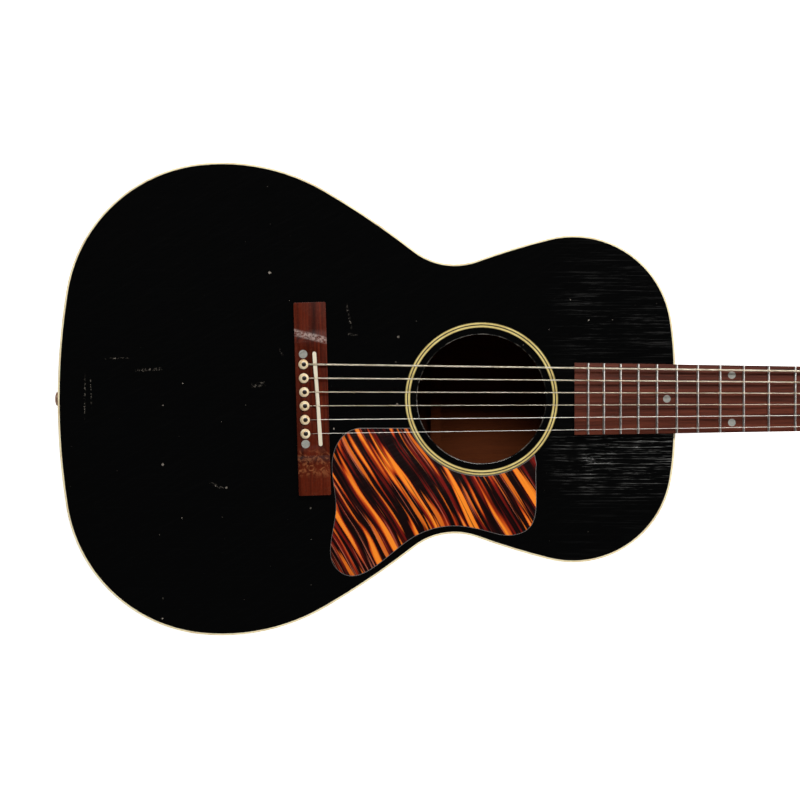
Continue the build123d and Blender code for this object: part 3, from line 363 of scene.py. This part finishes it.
def top_lacquer():
    """Lacquer of the soundboard: sunk into the spruce grain, chipped and scratched by playing, with painted
    highlights along the grain and round the soundhole's rim.
    """
    material, tree, shader, here, base, scuff, check_lines = lacquer_shader("top_lacquer")
    x, y = split_xyz(tree, here)[:2]
    # Worn zones, where grey along the grain is painted highlight: beside the fingerboard, more on the treble
    # side, and a little elsewhere
    upper = rise(tree, x, 380.0, 425.0)
    treble = product(tree, rise(tree, y, -20.0, -32.0), rise(tree, y, -88.0, -48.0))
    bass = product(tree, rise(tree, y, 22.0, 45.0), rise(tree, y, 125.0, 80.0))
    zones = maths(tree, "MULTIPLY_ADD", treble, 0.95, maths(tree, "MULTIPLY", bass, 0.13))
    worn = product(tree, upper, zones)
    worn = maths(tree, "MULTIPLY", worn, rise(tree, noise(tree, here, 0.035, 3, 0.6), 0.3, 0.6))
    grain = noise(tree, placed(tree, here, scale=(0.018, 0.75, 0.3)), 1.0, 4, 0.62, 0.05)
    fine = noise(tree, placed(tree, here, scale=(0.11, 1.2, 0.5)), 1.0, 3, 0.6)
    lines = rise(tree, maths(tree, "MULTIPLY_ADD", fine, 0.45, grain), 0.75, 0.90)
    # Painted highlight: grey along the grain lines in the worn zones, standing for the light that the worn
    # grain catches
    grey = product(tree, worn, lines)
    # Painted sheen: faint grey along the grain over the whole top, stronger on the upper bout
    grain_sheen = product(tree, rise(tree, grain, 0.52, 0.7), maths(tree, "MULTIPLY_ADD", upper, 0.03, 0.003))
    base = mix(tree, maths(tree, "MULTIPLY", grey, 0.8), base, (0.15, 0.15, 0.145))
    base = mix(tree, grain_sheen, base, (0.12, 0.12, 0.12))
    # Chips: one small speck in some of the cells of a random pattern
    shaken = add(tree, "VectorMath", {
        0: here, 1: add(tree, "VectorMath", {
            0: noise(tree, here, 0.9, 2, output="Color"), 1: (1.6, 1.6, 0.0),
        }, operation="MULTIPLY").outputs[0],
    }, operation="ADD").outputs[0]
    cells = add(
        tree, "TexVoronoi", {"Vector": shaken, "Scale": 1 / 17.0, "Randomness": 1.0},
        voronoi_dimensions="2D",
    )
    pick = split_xyz(tree, cells.outputs["Color"])
    played = rise(tree, noise(tree, here, 0.013, 2, 0.5), 0.40, 0.62)
    chance = maths(tree, "SUBTRACT", pick[0], 0.55)
    size = product(tree, chance, played, maths(tree, "MULTIPLY", pick[1], 0.2))
    chips = rise(tree, maths(tree, "SUBTRACT", size, cells.outputs["Distance"]), 0.0, 0.02)
    chips = maths(tree, "MULTIPLY", chips, pick[2])
    marks = [scratch_mask(tree, shaken, *scratch) for scratch in SCRATCHES]
    broken = rise(tree, noise(tree, here, 0.45, 5, 0.75), 0.50, 0.66)
    scratches = maths(tree, "MULTIPLY", product(tree, highest(tree, *marks), broken), 0.55)
    # Painted highlight of the soundhole's rounded rim: a thin broken ring of pale spruce colour, also made
    # rough and bumped like worn lacquer
    from_hole = plan_distance(tree, here, (HOLE_X, 0.0))
    rim_highlight_and_wear = product(
        tree, rise(tree, from_hole, HOLE_RADIUS + 0.9, HOLE_RADIUS + 0.3),
        rise(tree, noise(tree, here, 0.12, 5, 0.7), 0.42, 0.62), 0.45,
    )
    # bare holds the chips and scratches, and also the painted highlight of the soundhole's rim
    bare = highest(tree, chips, scratches, rim_highlight_and_wear)
    spruce = mix(tree, noise(tree, here, 0.8, 3), (0.10, 0.075, 0.055), (0.52, 0.47, 0.40))
    finish_lacquer(tree, shader, base, scuff, check_lines, bare, spruce, [
        (grain, 0.25, 0.10), (lines, maths(tree, "MULTIPLY_ADD", worn, 0.8, 0.05), 0.08),
    ])
    return material


def cream_material(name):
    """Aged cream celluloid with brown stains here and there."""
    colour, dark = (0.88, 0.78, 0.52), (0.42, 0.24, 0.08)
    material, tree, shader = new_material(name)
    here = bench_mm(tree)
    stain = ramp(tree, noise(tree, here, 0.045, 4, 0.7), [(0.48, 0.0), (0.72, 1.0)])
    fine = noise(tree, here, 0.9, 3, 0.6)
    tone = mix(tree, maths(tree, "MULTIPLY", fine, 0.35), colour, tuple(0.8 * part for part in colour))
    tree.links.new(mix(tree, maths(tree, "MULTIPLY", stain, 0.5), tone, dark), shader.inputs["Base Color"])
    rough = ramp(tree, fine, [(0.2, 0.22), (0.8, 0.42)])
    tree.links.new(rough, shader.inputs["Roughness"])
    shader.inputs["Subsurface Weight"].default_value = 0.08
    shader.inputs["Subsurface Radius"].default_value = (0.002, 0.0012, 0.0006)
    bump(tree, shader, [(fine, 0.15, 0.03)])
    return material


def rosette_material():
    """Two cream rings with dark borders, told apart by their distance from the soundhole's middle."""
    material, tree, shader = new_material("rosette_rings")
    here = bench_mm(tree)
    radius = plan_distance(tree, here, (HOLE_X, 0.0))
    middle = (ROSETTE_RADII[1] + ROSETTE_RADII[2]) / 2
    gap = near(tree, radius, middle, (ROSETTE_RADII[2] - ROSETTE_RADII[1]) / 2.4)
    border = highest(
        tree, rise(tree, radius, ROSETTE_RADII[3] - 0.7, ROSETTE_RADII[3] - 0.3),
        rise(tree, radius, ROSETTE_RADII[0] + 0.55, ROSETTE_RADII[0] + 0.2),
    )
    black = highest(tree, gap, maths(tree, "MULTIPLY", border, 0.85))
    stain = ramp(tree, noise(tree, here, 0.06, 4, 0.7), [(0.4, 0.0), (0.75, 1.0)])
    cream = mix(tree, stain, (0.74, 0.61, 0.24), (0.52, 0.38, 0.12))
    tree.links.new(mix(tree, black, cream, (0.012, 0.01, 0.008)), shader.inputs["Base Color"])
    shader.inputs["Roughness"].default_value = 0.28
    bump(tree, shader, [(noise(tree, here, 1.2, 3), 0.12, 0.03)])
    return material


def streaks(tree, along, length, width, place, low, high, detail=1.0):
    """Mask of long tapering streaks of a given length and width, along x of the frame."""
    scale = (1 / length, 1 / width, 1.0)
    moved = add(tree, "Mapping", {"Vector": along, "Location": place, "Scale": scale}).outputs["Vector"]
    return rise(tree, noise(tree, moved, 1.0, detail, 0.5), low, high)


def pickguard_material():
    """Dark celluloid with long orange and red streaks that taper and bend a little."""
    material, tree, shader = new_material("streaked_celluloid")
    here = bench_mm(tree)
    wander = noise(tree, here, 0.012, 1, 0.5, output="Color")
    shift = add(tree, "VectorMath", {0: wander, 1: (13.0, 6.0, 0.0)}, operation="MULTIPLY").outputs[0]
    bent = add(tree, "VectorMath", {0: here, 1: shift}, operation="ADD").outputs[0]
    flat = add(tree, "VectorMath", {0: bent, 1: (1.0, 1.0, 0.0)}, operation="MULTIPLY").outputs[0]
    along = placed(tree, flat, location=(300, -80, 0), rotation=(0, 0, math.radians(-60)))
    broad = streaks(tree, along, 95.0, 6.0, (3.1, 0.4, 0.0), 0.55, 0.61)
    heart = streaks(tree, along, 95.0, 6.0, (3.1, 0.4, 0.0), 0.58, 0.66)
    second = streaks(tree, along, 80.0, 3.6, (8.3, 2.7, 4.0), 0.60, 0.68)
    red = streaks(tree, along, 85.0, 4.0, (7.7, 5.2, 2.0), 0.50, 0.68, 2.0)
    thin = streaks(tree, along, 75.0, 1.5, (1.3, 9.2, 5.0), 0.62, 0.72)
    dark = streaks(tree, along, 80.0, 1.9, (5.9, 3.3, 7.0), 0.60, 0.72)
    colour = mix(tree, red, (0.006, 0.0018, 0.0018), (0.17, 0.008, 0.005))
    glow = highest(tree, broad, maths(tree, "MULTIPLY", second, 0.8))
    orange = highest(tree, heart, maths(tree, "MULTIPLY", second, 0.5))
    colour = mix(tree, glow, colour, (0.46, 0.035, 0.006))
    colour = mix(tree, orange, colour, (0.95, 0.26, 0.022))
    colour = mix(tree, maths(tree, "MULTIPLY", dark, 0.85), colour, (0.03, 0.004, 0.003))
    colour = mix(tree, maths(tree, "MULTIPLY", thin, 0.55), colour, (0.62, 0.16, 0.09))
    tree.links.new(colour, shader.inputs["Base Color"])
    scratch = noise(tree, placed(tree, here, rotation=(0, 0, 0.4), scale=(0.04, 1, 1)), 1.3, 4, 0.7)
    tree.links.new(maths(tree, "MULTIPLY_ADD", scratch, 0.3, 0.03), shader.inputs["Roughness"])
    bump(tree, shader, [(scratch, 0.08, 0.02)])
    return material


def rosewood_material(name, turn=0.0, wear=0.0, tone=(1, 1, 1), shine=0.25):
    """Brown rosewood with dark pores along its grain; tone multiplies its colour."""
    material, tree, shader = new_material(name)
    here = bench_mm(tree)
    grain = placed(tree, here, rotation=(0, 0, turn), scale=(0.035, 1, 1))
    bands = noise(tree, grain, 0.33, 5, 0.62, 0.3)
    pores = noise(tree, placed(tree, here, rotation=(0, 0, turn), scale=(0.09, 1, 1)), 3.2, 3, 0.6)
    colour = ramp(tree, bands, [
        (0.25, (0.020, 0.0045, 0.0025)), (0.47, (0.068, 0.0135, 0.006)), (0.66, (0.125, 0.026, 0.011)),
        (0.85, (0.19, 0.052, 0.023)),
    ])
    pore_mask = ramp(tree, pores, [(0.28, 1.0), (0.44, 0.0)])
    colour = mix(tree, maths(tree, "MULTIPLY", pore_mask, 0.75), colour, (0.012, 0.005, 0.004))
    colour = mix(tree, 1.0, colour, tone, "MULTIPLY")
    if wear:
        colour = bridge_wear(tree, here, colour, wear)
    tree.links.new(colour, shader.inputs["Base Color"])
    tree.links.new(ramp(tree, bands, [(0.2, 0.36), (0.9, 0.55)]), shader.inputs["Roughness"])
    shader.inputs["Specular IOR Level"].default_value = shine
    bump(tree, shader, [(pores, 0.5, 0.09), (bands, 0.15, 0.08)])
    return material


def bridge_wear(tree, here, colour, wear):
    """Pale band across the bass ramp, light swirls on the treble ramp and dust over the rest."""
    local = placed(tree, here, location=(BRIDGE_X, 0, 0), rotation=(0, 0, BRIDGE_TURN))
    across, along = split_xyz(tree, local)[:2]
    slant = maths(tree, "MULTIPLY_ADD", across, 0.28, along)
    rough = noise(tree, here, 0.5, 5, 0.75)
    band = product(tree, near(tree, slant, 49.5, 1.7), rise(tree, rough, 0.38, 0.60))
    swirl = noise(tree, here, 0.14, 4, 0.6, 2.2)
    scoop = product(tree, near(tree, along, -51.0, 6.0), rise(tree, swirl, 0.46, 0.62))
    dust = maths(tree, "MULTIPLY", rise(tree, rough, 0.5, 0.85), wear)
    colour = mix(tree, dust, colour, (0.20, 0.085, 0.045))
    colour = mix(tree, maths(tree, "MULTIPLY", scoop, 0.75), colour, (0.26, 0.085, 0.032))
    return mix(tree, maths(tree, "MULTIPLY", band, 0.85), colour, (0.38, 0.28, 0.25))


def inner_wood_material(name, dark, light):
    """Bare sanded wood inside the body."""
    material, tree, shader = new_material(name)
    grain = placed(tree, bench_mm(tree), scale=(0.03, 1, 1))
    rings = noise(tree, grain, 0.45, 5, 0.6, 0.25)
    pores = noise(tree, grain, 3.0, 3, 0.6)
    pore_mask = maths(tree, "MULTIPLY", rise(tree, pores, 0.45, 0.3), 0.5)
    colour = mix(tree, rings, dark, light)
    colour = mix(tree, pore_mask, colour, tuple(0.4 * part for part in dark))
    tree.links.new(colour, shader.inputs["Base Color"])
    shader.inputs["Roughness"].default_value = 0.72
    shader.inputs["Specular IOR Level"].default_value = 0.1
    bump(tree, shader, [(pores, 0.4, 0.12)])
    return material


def metal_material(name, colour, rough, amount=0.35):
    """Plated or bare metal with fine scratches; amount is how far its patches go to tarnish."""
    tarnish = (0.18, 0.13, 0.08)
    material, tree, shader = new_material(name)
    here = bench_mm(tree)
    patches = ramp(tree, noise(tree, here, 0.35, 5, 0.7), [(0.45, 0.0), (0.8, amount)])
    scratches = noise(tree, placed(tree, here, rotation=(0, 0, 0.7), scale=(0.1, 1, 1)), 4.0, 3, 0.6)
    tree.links.new(mix(tree, patches, colour, tarnish), shader.inputs["Base Color"])
    shader.inputs["Metallic"].default_value = 1.0
    roughness = ramp(tree, scratches, [(0.2, rough - 0.06), (0.8, rough + 0.14)])
    tree.links.new(roughness, shader.inputs["Roughness"])
    bump(tree, shader, [(scratches, 0.15, 0.02)])
    return material


def wound_material(pitch):
    """Wound string: the wrap wire shows as close turns; its UV's u runs along it in metres."""
    material, tree, shader = new_material("wound_string")
    u, v = split_xyz(tree, add(tree, "TexCoord").outputs["UV"])[:2]
    turns = maths(tree, "ADD", maths(tree, "DIVIDE", u, pitch * MM), v)
    wave = maths(tree, "SINE", maths(tree, "MULTIPLY", turns, 2 * math.pi))
    tarnish = noise(tree, bench_mm(tree), 0.05, 4, 0.7)
    colour = mix(tree, rise(tree, tarnish, 0.45, 0.75), (0.86, 0.78, 0.62), (0.52, 0.42, 0.28))
    tree.links.new(colour, shader.inputs["Base Color"])
    shader.inputs["Metallic"].default_value = 1.0
    shader.inputs["Roughness"].default_value = 0.36
    bump(tree, shader, [(wave, 0.6, 0.05)])
    return material


def pin_material(name, centre):
    """Cream bridge pin with a dark dot in the middle of its head."""
    material, tree, shader = new_material(name)
    here = bench_mm(tree)
    radius = plan_distance(tree, here, (centre.x / MM, centre.y / MM))
    above = rise(tree, split_xyz(tree, here)[2], PIN_HEAD_TOP - 0.5, PIN_HEAD_TOP)
    dot = product(tree, rise(tree, radius, 1.9, 1.7), above)
    stain = noise(tree, here, 0.35, 4, 0.65)
    cream = mix(tree, rise(tree, stain, 0.4, 0.75), (0.86, 0.74, 0.50), (0.62, 0.36, 0.14))
    tree.links.new(mix(tree, dot, cream, (0.010, 0.006, 0.005)), shader.inputs["Base Color"])
    shader.inputs["Roughness"].default_value = 0.3
    bump(tree, shader, [(maths(tree, "SUBTRACT", 1.0, dot), 0.6, 0.15), (stain, 0.1, 0.03)])
    return material


def pearl_material():
    """Mother of pearl with soft bands of grey, pink and green."""
    material, tree, shader = new_material("pearl")
    here = bench_mm(tree)
    bands = noise(tree, placed(tree, here, rotation=(0.4, 0.2, 0.6), scale=(0.35, 1, 1)), 0.5, 4, 0.6, 0.8)
    colour = ramp(tree, bands, [
        (0.3, (0.20, 0.20, 0.18)), (0.5, (0.34, 0.33, 0.30)), (0.62, (0.24, 0.27, 0.25)),
        (0.8, (0.44, 0.40, 0.37)),
    ])
    tree.links.new(colour, shader.inputs["Base Color"])
    shader.inputs["Roughness"].default_value = 0.22
    bump(tree, shader, [(bands, 0.1, 0.03)])
    return material


def plain_material(name, colour, rough, grit=1.5):
    """Plastic or bone with slight mottling, finer the larger the grit."""
    material, tree, shader = new_material(name)
    here = bench_mm(tree)
    mottle = noise(tree, here, grit, 4, 0.6)
    tree.links.new(
        mix(tree, maths(tree, "MULTIPLY", mottle, 0.4), colour, tuple(0.55 * part for part in colour)),
        shader.inputs["Base Color"],
    )
    roughness = ramp(tree, mottle, [(0.2, rough - 0.05), (0.8, rough + 0.12)])
    tree.links.new(roughness, shader.inputs["Roughness"])
    bump(tree, shader, [(mottle, 0.12, 0.03)])
    return material


# ---- Pieces -----------------------------------------------------------------------------------


def dress(node, material):
    """Give a CAD node its material."""
    piece = nodes[node]
    piece.data.materials.clear()
    piece.data.materials.append(material)
    return piece


def finished(piece, body, slot, material, *replaced):
    """Puts a finished piece in the scene with its body and material, and hides the nodes it replaces; slot
    is not used.
    """
    bpy.context.scene.collection.objects.link(piece)
    piece.data.materials.append(material)
    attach(piece, body)
    if replaced:
        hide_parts(*replaced)


def softened(node, name, body, slot, material, width, worn):
    """Copy of a node with its sharp edges rounded; worn is the material of the rounded edges."""
    mesh = nodes[node].data.copy()
    mesh.materials.clear()
    form = bmesh.new()
    form.from_mesh(mesh)
    bmesh.ops.remove_doubles(form, verts=form.verts, dist=0.002 * MM)
    bmesh.ops.dissolve_limit(
        form, angle_limit=math.radians(1.0), verts=form.verts, edges=form.edges, delimit=set()
    )
    sharp = [edge for edge in form.edges if len(edge.link_faces) == 2 and edge.calc_face_angle() > 0.6]
    bmesh.ops.bevel(
        form, geom=sharp, offset=width * MM, segments=2, profile=0.5, affect="EDGES",
        clamp_overlap=True, material=1,
    )
    form.to_mesh(mesh)
    form.free()
    mesh.shade_smooth()
    mesh.set_sharp_from_angle(angle=math.radians(40))
    piece = bpy.data.objects.new(name, mesh)
    finished(piece, body, slot, material, node)
    mesh.materials.append(worn)


def top_outline(node):
    """Corner points of the loop round a flat plate's upper face, in the bench frame."""
    form = bmesh.new()
    form.from_mesh(nodes[node].data)
    bmesh.ops.remove_doubles(form, verts=form.verts, dist=0.002 * MM)
    upper = {face for face in form.faces if face.normal.dot(TOP_NORMAL) > 0.99}
    rim = [edge for edge in form.edges if sum(face in upper for face in edge.link_faces) == 1]
    beside = {}
    for edge in rim:
        for vertex in edge.verts:
            beside.setdefault(vertex, []).append(edge)
    vertex, edge = rim[0].verts[0], rim[0]
    loop = []
    while not loop or vertex is not rim[0].verts[0]:
        loop.append(TO_BENCH @ vertex.co)
        vertex = edge.other_vert(vertex)
        edge = next(other for other in beside[vertex] if other is not edge)
    form.free()
    area = sum(a.x * b.y - b.x * a.y for a, b in zip(loop, loop[1:] + loop[:1]))
    return loop if area > 0 else loop[::-1]


def inset(loop, distance):
    """Loop moved inward by a distance, with its corners kept from running out to spikes."""
    moved = []
    for before, point, after in zip(loop[-1:] + loop[:-1], loop, loop[1:] + loop[:1]):
        ahead = (after - point).normalized()
        behind = (point - before).normalized()
        inward = Vector((-ahead.y - behind.y, ahead.x + behind.x, 0)).normalized()
        spread = max(inward.dot(Vector((-ahead.y, ahead.x, 0))), 0.6)
        moved.append(point + inward * distance / spread)
    return moved


# Rounded rim of the pickguard: how far in from its outline, and how high, in mm
PLATE_RIM = ((0.0, 0.0), (0.0, 0.55), (0.08, 0.78), (0.24, 0.93), (0.5, 1.0))


def add_pickguard(material, edge):
    """Pickguard with a round scraped edge, stood on the outline of the CAD plate."""
    outline = top_outline("pickguard")
    form = bmesh.new()
    rings = []
    for distance, height in PLATE_RIM:
        ring = inset(outline, distance * MM) if distance else outline
        rings.append([form.verts.new(BENCH @ Vector((point.x, point.y, height * MM))) for point in ring])
    for low, high in zip(rings, rings[1:]):
        for place in range(len(low)):
            after = (place + 1) % len(low)
            face = form.faces.new((low[place], low[after], high[after], high[place]))
            face.material_index = 1
    form.faces.new(rings[-1])
    form.faces.new(rings[0][::-1])
    mesh = bpy.data.meshes.new("pickguard_plate")
    form.to_mesh(mesh)
    form.free()
    mesh.shade_smooth()
    mesh.set_sharp_from_angle(angle=math.radians(35))
    piece = bpy.data.objects.new("pickguard_plate", mesh)
    finished(piece, "root", "streaked_celluloid", material, "pickguard")
    mesh.materials.append(edge)


def line_inside(node, outer, inner):
    """Gives a shell of the body bare wood on the faces that look into the sound box."""
    piece = dress(node, outer)
    piece.data.materials.append(inner)
    for face in piece.data.polygons:
        upward = face.normal.z
        if abs(upward) > 0.5:
            inside = (upward > 0) == (face.center.z < BOX_MIDDLE)
        else:
            start = face.center + face.normal * 0.5 * MM
            inside = node in SIDES and SIDE_TREE.ray_cast(start, face.normal, 0.6)[0] is not None
        face.material_index = 1 if inside else 0


def tube(name, points, radius, sides=12):
    """Round tube along bench points in metres; u of its UV is the distance along it."""
    form = bmesh.new()
    uv = form.loops.layers.uv.new("along")
    rings, reach = [], 0.0
    side = Vector((0, 1, 0))
    for place, point in enumerate(points):
        before = points[max(place - 1, 0)]
        after = points[min(place + 1, len(points) - 1)]
        direction = (after - before).normalized()
        side = (side - direction * side.dot(direction)).normalized()
        other = direction.cross(side)
        reach += (point - before).length
        ring = [
            form.verts.new(BENCH @ (point + radius * (math.cos(turn) * side + math.sin(turn) * other)))
            for turn in (2 * math.pi * step / sides for step in range(sides))
        ]
        rings.append((ring, reach))
    for (first, low), (second, high) in zip(rings, rings[1:]):
        for step in range(sides):
            after = (step + 1) % sides
            face = form.faces.new((first[step], first[after], second[after], second[step]))
            corners = ((low, step), (low, step + 1), (high, step + 1), (high, step))
            for loop, (along, around) in zip(face.loops, corners):
                loop[uv].uv = (along, around / sides)
    form.faces.new(list(reversed(rings[0][0])))
    form.faces.new(rings[-1][0])
    bmesh.ops.recalc_face_normals(form, faces=form.faces)
    mesh = bpy.data.meshes.new(name)
    form.to_mesh(mesh)
    form.free()
    mesh.shade_smooth()
    mesh.set_sharp_from_angle(angle=math.radians(60))
    return bpy.data.objects.new(name, mesh)


def rounded(points, trims, steps=6):
    """Path through the points with each inner corner eased over its trim length."""
    path = [points[0]]
    for before, corner, after, trim in zip(points, points[1:], points[2:], trims):
        start = corner + (before - corner).normalized() * trim
        end = corner + (after - corner).normalized() * trim
        for step in range(steps + 1):
            t = step / steps
            path.append(start * (1 - t) ** 2 + corner * 2 * t * (1 - t) + end * t ** 2)
    path.append(points[-1])
    return path


def bench_point(x, y, z):
    """Bench millimetres as a point in metres."""
    return Vector((x, y, z)) * MM


def node_centre(node):
    """Middle of a node's box in the bench frame."""
    low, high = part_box(node)
    return TO_BENCH @ ((Vector(low) + Vector(high)) / 2)


# The headstock's frame in the bench frame: u along its face, v across it, and out of it
HEAD = Matrix.Translation(bench_point(HEAD_X, 0, 0)) @ Matrix.Rotation(HEAD_ANGLE, 4, "Y")


def crown_drop(across):
    """How far the crowned surface falls below its crest at a distance across it, in mm."""
    return across ** 2 / (2 * CROWN_RADIUS)


def add_string(number, material):
    """One string: from its ball end over the saddle and nut to its turns round the post."""
    radius = STRING_DIAMETERS[number - 1] / 2
    offset = number - 3.5
    side = 1 if offset > 0 else -1
    pin = node_centre(f"bridge_pin_{number}") / MM
    flute_x = pin.x + FLUTE_OFFSET
    across = offset * SADDLE_SPACING
    saddle_x = SADDLE_X - across * math.tan(SADDLE_SLANT)
    saddle = bench_point(saddle_x, across, SADDLE_TOP - crown_drop(across) + radius)
    at_nut = offset * NUT_SPACING
    nut = bench_point(NUT_CREST_X, at_nut, NUT_TOP - crown_drop(at_nut) + radius)
    post = HEAD.inverted() @ (TO_BENCH @ Vector(joints[f"post_{number}_spin"]["pos_m"]))
    u, v = post.x, post.y
    start = HEAD.inverted() @ nut
    coil = (POST_WAIST + 0.1 + radius) * MM
    away = Vector((u - start.x, v - start.y))
    course = math.atan2(away.y, away.x) - side * math.asin(coil / away.length)
    run = math.sqrt(away.length ** 2 - coil ** 2)
    touch = (start.x + run * math.cos(course), start.y + run * math.sin(course))
    angle = math.atan2(touch[1] - v, touch[0] - u)
    whole = side * 2 * math.pi * STRING_TURNS[number - 1]
    last = math.pi * round((angle + whole) / math.pi)
    climb = STRING_HOLE_HEIGHT * MM - start.z
    turns = []
    steps = 28 * STRING_TURNS[number - 1]
    for step in range(steps + 1):
        part = step / steps
        at = angle + (last - angle) * part
        turns.append(HEAD @ Vector((
            u + coil * math.cos(at), v + coil * math.sin(at), start.z + climb * part,
        )))
    path = rounded(
        [bench_point(flute_x, pin.y, -6.3), bench_point(flute_x, pin.y, 7.3), saddle, nut, turns[0]],
        [1.2 * MM, 1.0 * MM, 1.4 * MM],
    )[:-1]
    slot = "plain_steel" if number < WOUND_FROM else "wound_bronze"
    wire = tube(f"string_{number}_wire", path + turns, radius * MM)
    finished(wire, "root", slot, material, f"string_{number}")
    outward = -math.cos(last)
    tail = [
        HEAD @ Vector((u - outward * (POST_WAIST + 0.3) * MM, v, STRING_HOLE_HEIGHT * MM)),
        HEAD @ Vector((u + outward * 3.2 * MM, v, STRING_HOLE_HEIGHT * MM)),
        HEAD @ Vector((u + outward * 5.4 * MM, v + 0.5 * MM, (STRING_HOLE_HEIGHT - 0.8) * MM)),
    ]
    end = tube(f"string_{number}_end", rounded(tail, [0.9 * MM]), radius * MM)
    finished(end, f"post_{number}", slot, material)
    ball_axis = bench_point(flute_x + 1.15, pin.y, -7.5)
    ball = tube(
        f"string_{number}_ball",
        [ball_axis + bench_point(0, y, 0) for y in (-1.6, -1.3, -0.5, 0.5, 1.3, 1.6)],
        BALL_RADIUS * MM, 20,
    )
    finished(ball, "root", "brass", brass)


BOX_MIDDLE = 0.05  # a height between the back and the soundboard, in metres

# The two sides as one surface, which tells their inner faces from their outer ones
SIDES = ("side_bass", "side_treble")
side_vertices = []
side_faces = []
for node in SIDES:
    first = len(side_vertices)
    side_vertices += [vertex.co.copy() for vertex in nodes[node].data.vertices]
    side_faces += [[first + index for index in face.vertices] for face in nodes[node].data.polygons]
SIDE_TREE = BVHTree.FromPolygons(side_vertices, side_faces)

make_camera()
make_floor()
make_lights()

lacquer = body_lacquer()
for node in ("neck", "headstock_veneer"):
    dress(node, lacquer)
mahogany = inner_wood_material("mahogany", (0.050, 0.010, 0.0014), (0.115, 0.025, 0.0035))
spruce = inner_wood_material("spruce", (0.46, 0.27, 0.12), (0.66, 0.44, 0.22))
line_inside("soundboard", top_lacquer(), spruce)
for node in ("back", "side_bass", "side_treble"):
    line_inside(node, lacquer, mahogany)
for node in ("neck_block", "tail_block", "linings", "back_braces"):
    dress(node, mahogany)
for node in ("soundboard_braces", "bridge_plate"):
    dress(node, spruce)
dress("bindings", cream_material("binding_cream"))
dress("rosette", rosette_material())
dress("fingerboard", rosewood_material("fingerboard_rosewood"))
bone = plain_material("bone", (0.80, 0.72, 0.56), 0.35)
dress("saddle", bone)
dress("nut", bone)
dress("pearl_dots", pearl_material())
nickel = metal_material("aged_nickel", (0.72, 0.70, 0.66), 0.26)
plates = ("tuner_plate_bass", "tuner_plate_treble")
for node in ("frets", *plates, "wood_screws", "post_bushings", "bridge_bolts"):
    dress(node, nickel)
steel = metal_material("plain_steel", (0.75, 0.75, 0.74), 0.25, amount=0.15)
brass = metal_material("brass", (0.72, 0.50, 0.20), 0.3)
dress("truss_rod", steel)
black_plastic = plain_material("black_plastic", (0.006, 0.0055, 0.005), 0.22, 0.5)
dress("truss_rod_cover", black_plastic)
dress("heel_cap", black_plastic)
dress("end_pin", plain_material("amber_plastic", (0.30, 0.10, 0.018), 0.3))
scraped = plain_material("scraped_celluloid", (0.11, 0.10, 0.095), 0.4)
add_pickguard(pickguard_material(), scraped)
bridge_wood = rosewood_material("bridge_rosewood", math.pi / 2 + BRIDGE_TURN, 0.25, (0.85, 0.48, 0.27), 0.1)
worn_wood = plain_material("bridge_worn_edge", (0.26, 0.19, 0.16), 0.4)
softened("bridge", "bridge_block", "root", "rosewood", bridge_wood, 0.45, worn_wood)
button_cream = cream_material("button_cream")
wound = wound_material(WRAP_PITCH)
plain_wire = metal_material("string_steel", (0.86, 0.83, 0.76), 0.42, amount=0.1)
for number in range(1, 7):
    pin_centre = node_centre(f"bridge_pin_{number}")
    dress(f"bridge_pin_{number}", pin_material(f"pin_cream_{number}", pin_centre))
    dress(f"tuner_button_{number}", button_cream)
    dress(f"tuner_worm_{number}", nickel)
    dress(f"tuner_post_{number}", nickel)
    add_string(number, plain_wire if number < WOUND_FROM else wound)
